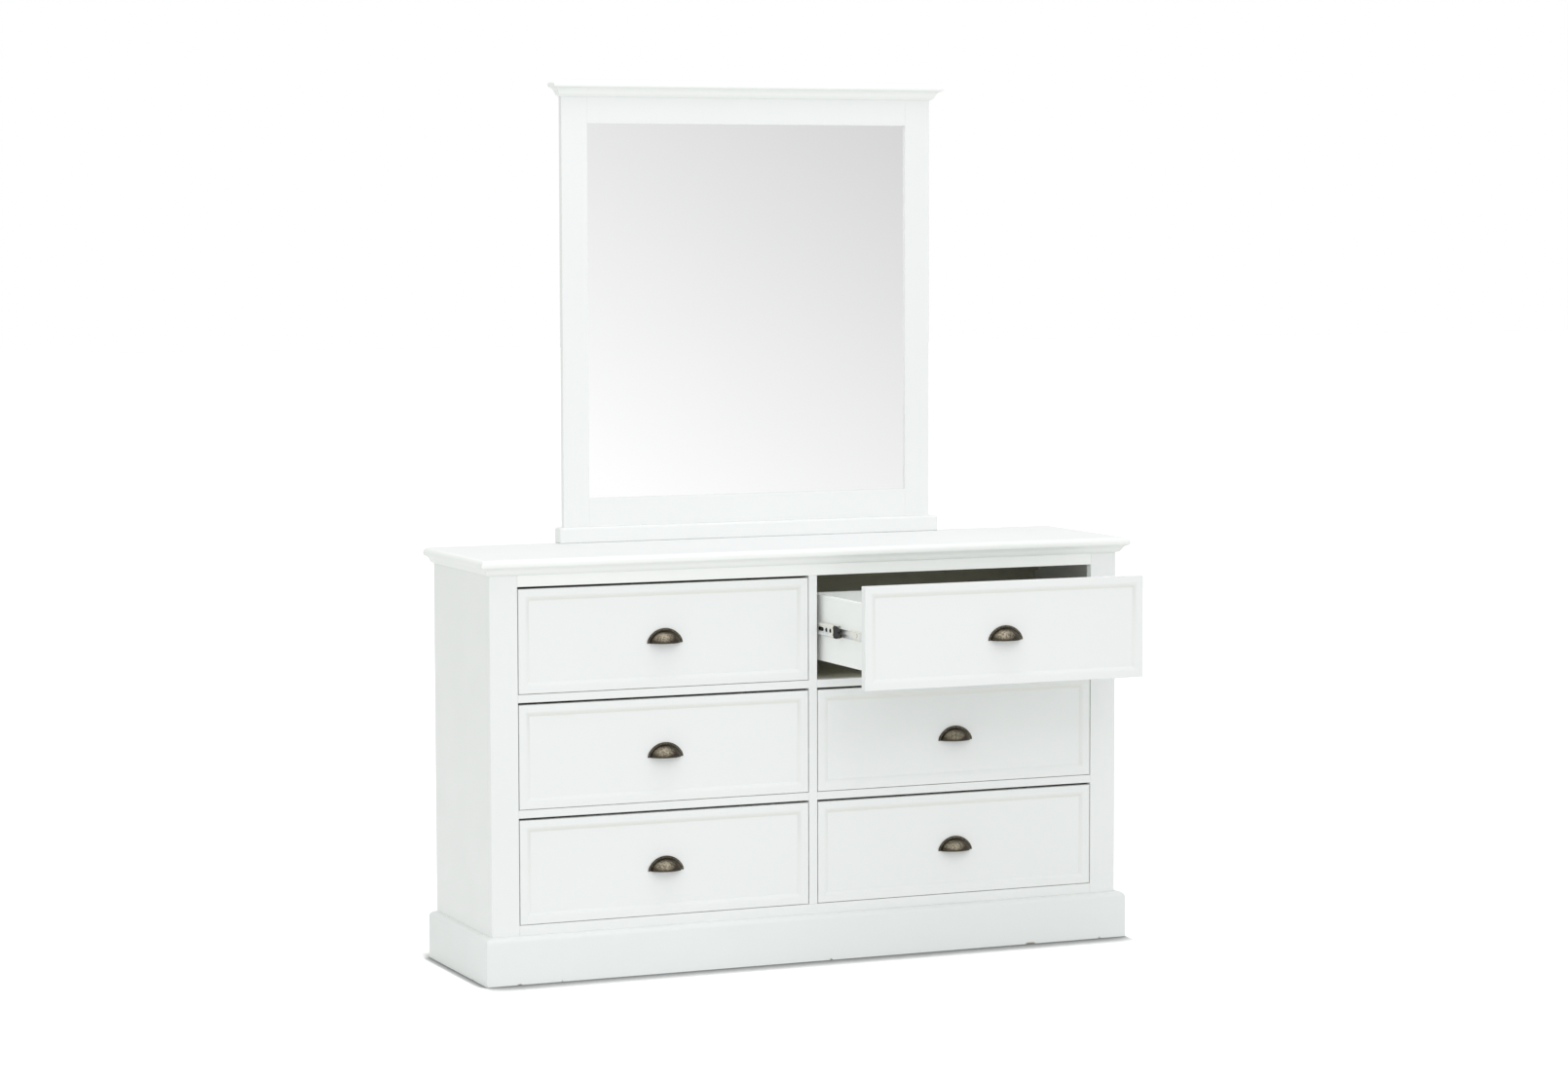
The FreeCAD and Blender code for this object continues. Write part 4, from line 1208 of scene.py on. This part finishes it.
# %% Middle members and bumpers
MIDDLE_BEHIND_CAP = 3 * MM
MIDDLE_LENGTH = 296 * MM
METAL_STARTS = 24 * MM       # inside the cap, which reaches further forward than the steel
SLOTS = {57 * MM: 13 * MM, 77.5 * MM: 13 * MM, 97 * MM: 30 * MM}     # where each starts, how long it is
BUMPER_HALF = [(1.0, 3.6), (0.5, 7.6), (2.0, 9.4), (15, 9.9), (21.5, 10.2), (23, 13.4), (39.2, 13.4),
               (40, 12.6)]
BUMPER_GAP = [(11, -3.0), (15, 0), (11, 3.0)]
BUMPER = BUMPER_HALF + [(back, -up) for back, up in BUMPER_HALF[::-1]] + BUMPER_GAP
RIB_FRONT = [(44.8, 9), (43.0, 5), (42.4, 0), (43.0, -5), (44.8, -9)]
REAR_RIB = RIB_FRONT + [(back + 1.5, up) for back, up in RIB_FRONT[::-1]]
# a black plate behind the slots, which makes the web dark there
DARK_PLATE = [(54, 4.8), (131, 4.8), (131, -4.8), (54, -4.8)]
PLASTIC_PLATES = ((BUMPER, 1.9, 4, 0.4), (REAR_RIB, 3.4, 5.2, 0), (DARK_PLATE, 6.8, 7.6, 0))  # near, far, radius


def middle_members(name):
    """The two middle members of one drawer."""
    node = "slide_middle_members_" + name
    body = "runner_" + name
    sheet, plastic, bearings = new_form(), new_form(), new_form()
    slot_ends = [place for start, length in SLOTS.items() for place in (start, start + length)]
    stations = [METAL_STARTS, *slot_ends, MIDDLE_LENGTH]
    for wall in walls(name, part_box(node)[0].y + MIDDLE_BEHIND_CAP):
        channel(sheet, wall, MIDDLE_SECTION, stations, SLOTS)
        for outline, near, far, radius in PLASTIC_PLATES:
            plate(plastic, wall, in_metres(outline), near * MM, far * MM, radius * MM)
        for side in (-1, 1):
            for away, up, start in BALL_ROWS:
                balls(bearings, wall, away * MM, side * up * MM, start * MM)
    shown(sheet, node + "_shown", body, [bright_zinc], [node], sheet=STEEL)
    shown(plastic, "slide_bumpers_" + name, body, [black_plastic], [node])
    shown(bearings, "slide_balls_" + name, body, [dull_steel], [node])


for name in DRAWERS:
    middle_members(name)
print("middle members:", 2 * len(DRAWERS))

# %% [markdown]
# ## Screws of the pulls and battens
# What holds the hardware shows inside and behind: two screws through each front into its pull, and
# screws through the battens into the back rail and the mirror's stiles. The battens are made
# again, thinner by a little more than the height of their flat screw heads, so that nothing
# stands out behind the dresser.

# %% Screws of the pulls and battens
BACKWARD = Vector((0, 1, 0))
PULL_SCREW_IN = 12 * MM
PULL_SCREW_UP = 6 * MM
PULL_SCREW = 4 * MM
BATTEN_WIDE = 45 * MM
BATTEN_ROUND = 0.6 * MM
BATTEN_HEADS = (0.806, 0.846, 0.935, 1.06, 1.19)     # heights of the screws
BATTEN_SCREW = 3.8 * MM
HEAD_HEIGHT = 0.7 * MM
BATTEN_THINNER = 1.2 * HEAD_HEIGHT

for name in DRAWERS:
    low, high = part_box("cup_pull_" + name)
    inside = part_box("drawer_front_" + name)[1].y
    form = new_form()
    for x in (low.x + PULL_SCREW_IN, high.x - PULL_SCREW_IN):
        pan_screw(form, Vector((x, inside, low.z + PULL_SCREW_UP)), BACKWARD, PULL_SCREW)
    shown(form, "pull_screws_" + name, "drawer_" + name, [dull_steel])

low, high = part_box("mirror_supports")
batten_back = high.y - BATTEN_THINNER
battens, heads = new_form(), new_form()
for start in (low.x, high.x - BATTEN_WIDE):
    board(battens, (start, low.y, low.z), (start + BATTEN_WIDE, batten_back, high.z), BATTEN_ROUND)
    for level in BATTEN_HEADS:
        seat = Vector((start + BATTEN_WIDE / 2, batten_back, level))
        pan_screw(heads, seat, BACKWARD, BATTEN_SCREW, HEAD_HEIGHT)
shown(battens, "mirror_supports_shown", "cabinet", [batten_wood], ["mirror_supports"])
shown(heads, "batten_screws", "cabinet", [dull_steel])
print("screws:", 2 * len(DRAWERS), "in pulls,", 2 * len(BATTEN_HEADS), "in battens")

# %% [markdown]
# ## Brads in the back panel
# The thin back panel is nailed on along its edges and down the middle, where the partition is. A
# brad's head is a very flat pan head. The heads are spaced evenly, as near to the pitch as a whole
# number of them allows.

# %% Brads
BRAD_PITCH = 0.12
BRAD_INSET = 9 * MM
BRAD_RADIUS, BRAD_HEIGHT = 1.8 * MM, 0.5 * MM

low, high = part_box("back_panel")
across = round((high.x - low.x) / BRAD_PITCH)
upward = round((high.z - low.z) / BRAD_PITCH)
brads = new_form()
places = [(low.x + BRAD_INSET + (high.x - low.x - 2 * BRAD_INSET) * step / across, z)
          for step in range(across + 1) for z in (low.z + BRAD_INSET, high.z - BRAD_INSET)]
places += [(x, low.z + (high.z - low.z) * step / upward)
           for step in range(1, upward) for x in (low.x + BRAD_INSET, 0, high.x - BRAD_INSET)]
for x, z in places:
    pan_screw(brads, Vector((x, high.y, z)), BACKWARD, BRAD_RADIUS, BRAD_HEIGHT)
shown(brads, "back_panel_brads", "cabinet", [dull_steel])
print("brads:", len(places))

# %% [markdown]
# ## Where the floor is in shadow
# The object stands on a plain white floor. Close to the plinth, ambient occlusion finds a short
# contact shadow. Light comes in from the left, so a mask lets the shadow fade sooner beside the
# plinth's left end than in front of it, and at once past its right end.

# %% Shadow on the floor
SHADOW_REACH = 0.082
LEFT_FADES = 0.024
RIGHT_FADES = (-0.002, 0.006)     # from the plinth's right end
plinth_half = carcass_half + plinth_thick


def seen(tree):
    """1 for a ray that reaches the eye, straight or by way of gloss or glass, and 0 for others."""
    rays = add(tree, "ShaderNodeLightPath").outputs
    straight_or_glossy = maths(tree, "MAXIMUM", rays["Is Camera Ray"], rays["Is Glossy Ray"])
    return maths(tree, "MAXIMUM", straight_or_glossy, rays["Is Transmission Ray"])


def open_around(tree, place):
    """How open the floor is here: 1 out in the light, less near the plinth."""
    around = add(tree, "ShaderNodeAmbientOcclusion", {"Distance": SHADOW_REACH}, samples=8).outputs["AO"]
    across = add(tree, "ShaderNodeSeparateXYZ", {0: place}).outputs["X"]
    left = spread(tree, across, -plinth_half - LEFT_FADES, -plinth_half, 0.0, 1.0)
    right = spread(tree, across, *(plinth_half + fade for fade in RIGHT_FADES), 1.0, 0.0)
    return mixed(tree, maths(tree, "MULTIPLY", left, right), (1, 1, 1, 1), around)


print("plinth on the floor: %.0f mm wide" % (2 * plinth_half / MM))

# %% [markdown]
# ## Floor
# The floor has to read as white while the lamps stay at a level that keeps the lacquer's tones. So
# it adds a little brightness of its own, to the rays that are seen and to no others. In the contact
# shadow that extra brightness goes, and the paper darkens for the same rays, which throws no less
# light back onto the plinth.

# %% Floor
FLOOR_HALF = 40.0
FLOOR_GLOW = 0.62
GLOW_FROM, GLOW_FULL = 0.85, 0.97       # how open the floor is where the glow starts and is full
CONTACT_OPEN, SHADE_ENDS = 0.50, 0.913  # the same for the darker paper
CONTACT_TONE = 0.23                     # how dark the paper looks where something touches it

form = bmesh.new()
bmesh.ops.create_grid(form, x_segments=1, y_segments=1, size=FLOOR_HALF)
studio_floor = placed("studio_floor", mesh_of(form, "studio_floor"))

floor_paper, tree, shader, place = new_material("floor_paper", Roughness=0.9, Specular_IOR_Level=0.1)
tone = use(tree, clouds, Place=place, Scale=1.5, Detail=3.0)["Tone"]
pale = mixed(tree, tone, (0.84, 0.84, 0.84, 1), (0.82, 0.82, 0.82, 1))
eye = seen(tree)
openness = open_around(tree, place)
darker = maths(tree, "SUBTRACT", spread(tree, openness, CONTACT_OPEN, SHADE_ENDS, CONTACT_TONE, 1.0), 1.0)
shade = maths(tree, "MULTIPLY_ADD", eye, darker, 1.0)
give(tree, shader.inputs["Base Color"], mixed(tree, 1.0, pale, shade, "MULTIPLY"))
glow = maths(tree, "MULTIPLY", eye, spread(tree, openness, GLOW_FROM, GLOW_FULL, 0.0, 1.0))
light = add(tree, "ShaderNodeEmission", {"Strength": maths(tree, "MULTIPLY", glow, FLOOR_GLOW)})
total = add(tree, "ShaderNodeAddShader", {0: shader.outputs[0], 1: light.outputs[0]})
give(tree, tree.nodes["Material Output"].inputs["Surface"], total.outputs[0])
studio_floor.data.materials.append(floor_paper)
print("floor glow:", FLOOR_GLOW)

# %% [markdown]
# ## World and lamps
# The world gives most of the light, even and soft, and is plain white wherever it is seen. Four large
# square lamps shape the object a little: a key on the left, a weak fill on the right, one high in
# front and one overhead. They are slightly blue and violet against the world's faint green, so the
# sum is neutral.

# %% World and lamps
WORLD_LIGHT = 0.79
WORLD_TINT = (0.972, 1.0, 0.969, 1)
LAMP_SIZE = 2.4
LAMPS = {     # where it stands, what it is aimed at, watts, colour
    "key": ((-2.9, -4.2, 2.0), (0, 0, 1.0), 20.5, (0.98, 0.985, 1.0)),
    "fill": ((2.6, -4.0, 2.0), (0, 0, 0.9), 3.3, (0.98, 0.985, 1.0)),
    "front_high": ((-0.3, -4.3, 3.8), (0, 0, 0.9), 30, (0.925, 0.90, 1.0)),
    "overhead": ((0, -0.6, 4.2), (0, 0, 0), 27.5, (0.955, 0.925, 1.0)),
}

world = bpy.data.worlds.new("studio")
bpy.context.scene.world = world
world.use_nodes = True
tree = world.node_tree
tree.nodes.clear()
eye = seen(tree)
sky = add(tree, "ShaderNodeBackground", {"Color": mixed(tree, eye, WORLD_TINT, (1, 1, 1, 1)),
                                         "Strength": spread(tree, eye, 0.0, 1.0, WORLD_LIGHT, 1.0)})
add(tree, "ShaderNodeOutputWorld", {"Surface": sky.outputs[0]})

for name, (stands, towards, watts, tint) in LAMPS.items():
    lamp = bpy.data.lights.new(name, "AREA")
    lamp.size = LAMP_SIZE
    lamp.energy = watts
    lamp.color = tint
    rig = placed(name, lamp)
    rig.location = stands
    rig.rotation_euler = (Vector(towards) - Vector(stands)).to_track_quat("-Z", "Y").to_euler()
bpy.context.scene.view_settings.view_transform = "Standard"
print("lamps:", [lamp.name for lamp in bpy.data.lights])

# %% [markdown]
# ## What the mirror sees
# A mirror has no look of its own: it shows the room. Here that is a studio wall that runs from white
# near the floor to a soft grey further up and to the right. It stands in front of the
# dresser where only mirror rays can see it, so it throws no light or shadow. Its tone is written as
# it should appear on a screen, so it is turned into light by a power at the end.

# %% Reflected wall
WALL_Y = -3.0
WALL_HALF_WIDE, WALL_HALF_HIGH = 14, 4
WALL_X, WALL_Z = 0.80, 1.862      # where the wall has its middle tone
WALL_TONE = 0.906                 # display value there
WALL_FALL_X, WALL_FALL_Z = -0.0635, -0.092   # change of tone per metre
WALL_LOW, WALL_HIGH = 0.82, 1.0
DISPLAY_GAMMA = 2.2

form = bmesh.new()
bmesh.ops.create_grid(form, x_segments=1, y_segments=1, size=1)
bmesh.ops.scale(form, vec=(WALL_HALF_WIDE, WALL_HALF_HIGH, 1), verts=form.verts)
bmesh.ops.rotate(form, matrix=Matrix.Rotation(math.radians(-90), 3, "X"), verts=form.verts)
bmesh.ops.translate(form, vec=(0, WALL_Y, WALL_HALF_HIGH), verts=form.verts)
reflected_wall = placed("reflected_wall", mesh_of(form, "reflected_wall"))
for ray in ("camera", "diffuse", "transmission", "volume_scatter", "shadow"):
    setattr(reflected_wall, "visible_" + ray, False)

wall_light = bpy.data.materials.new("reflected_wall")
wall_light.use_nodes = True
tree = wall_light.node_tree
tree.nodes.clear()
place = add(tree, "ShaderNodeTexCoord").outputs["Object"]
parts = add(tree, "ShaderNodeSeparateXYZ", {0: place}).outputs
middle_tone = WALL_TONE - WALL_X * WALL_FALL_X - WALL_Z * WALL_FALL_Z
tone = maths(tree, "MULTIPLY_ADD", parts["X"], WALL_FALL_X, middle_tone)
tone = maths(tree, "MULTIPLY_ADD", parts["Z"], WALL_FALL_Z, tone)
held = add(tree, "ShaderNodeClamp", {"Value": tone, "Min": WALL_LOW, "Max": WALL_HIGH}).outputs[0]
linear = maths(tree, "POWER", held, DISPLAY_GAMMA)
light = add(tree, "ShaderNodeEmission", {"Strength": maths(tree, "DIVIDE", linear, MIRROR_REFLECTS)})
add(tree, "ShaderNodeOutputMaterial", {"Surface": light.outputs[0]})
reflected_wall.data.materials.append(wall_light)
print("reflected wall at y =", WALL_Y)

# %% [markdown]
# ## Measured parts that stay
# Some measured parts need no new form: the panels inside the carcass, the glass and its backing.
# They only take their materials.

# %% Materials on measured parts
SHOWN_AS_MEASURED = {
    dark_board: ("centre_partition", "bottom_panel", "back_panel", "back_rails", "plinth_bearers",
                 "dust_panels", "slide_packers", "mirror_backing"),
    silvered_glass: ("mirror_glass",),
}
for material, nodes in SHOWN_AS_MEASURED.items():
    for node in nodes:
        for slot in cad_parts[node].material_slots:
            slot.material = material
print("measured parts shown:", sum(len(nodes) for nodes in SHOWN_AS_MEASURED.values()))
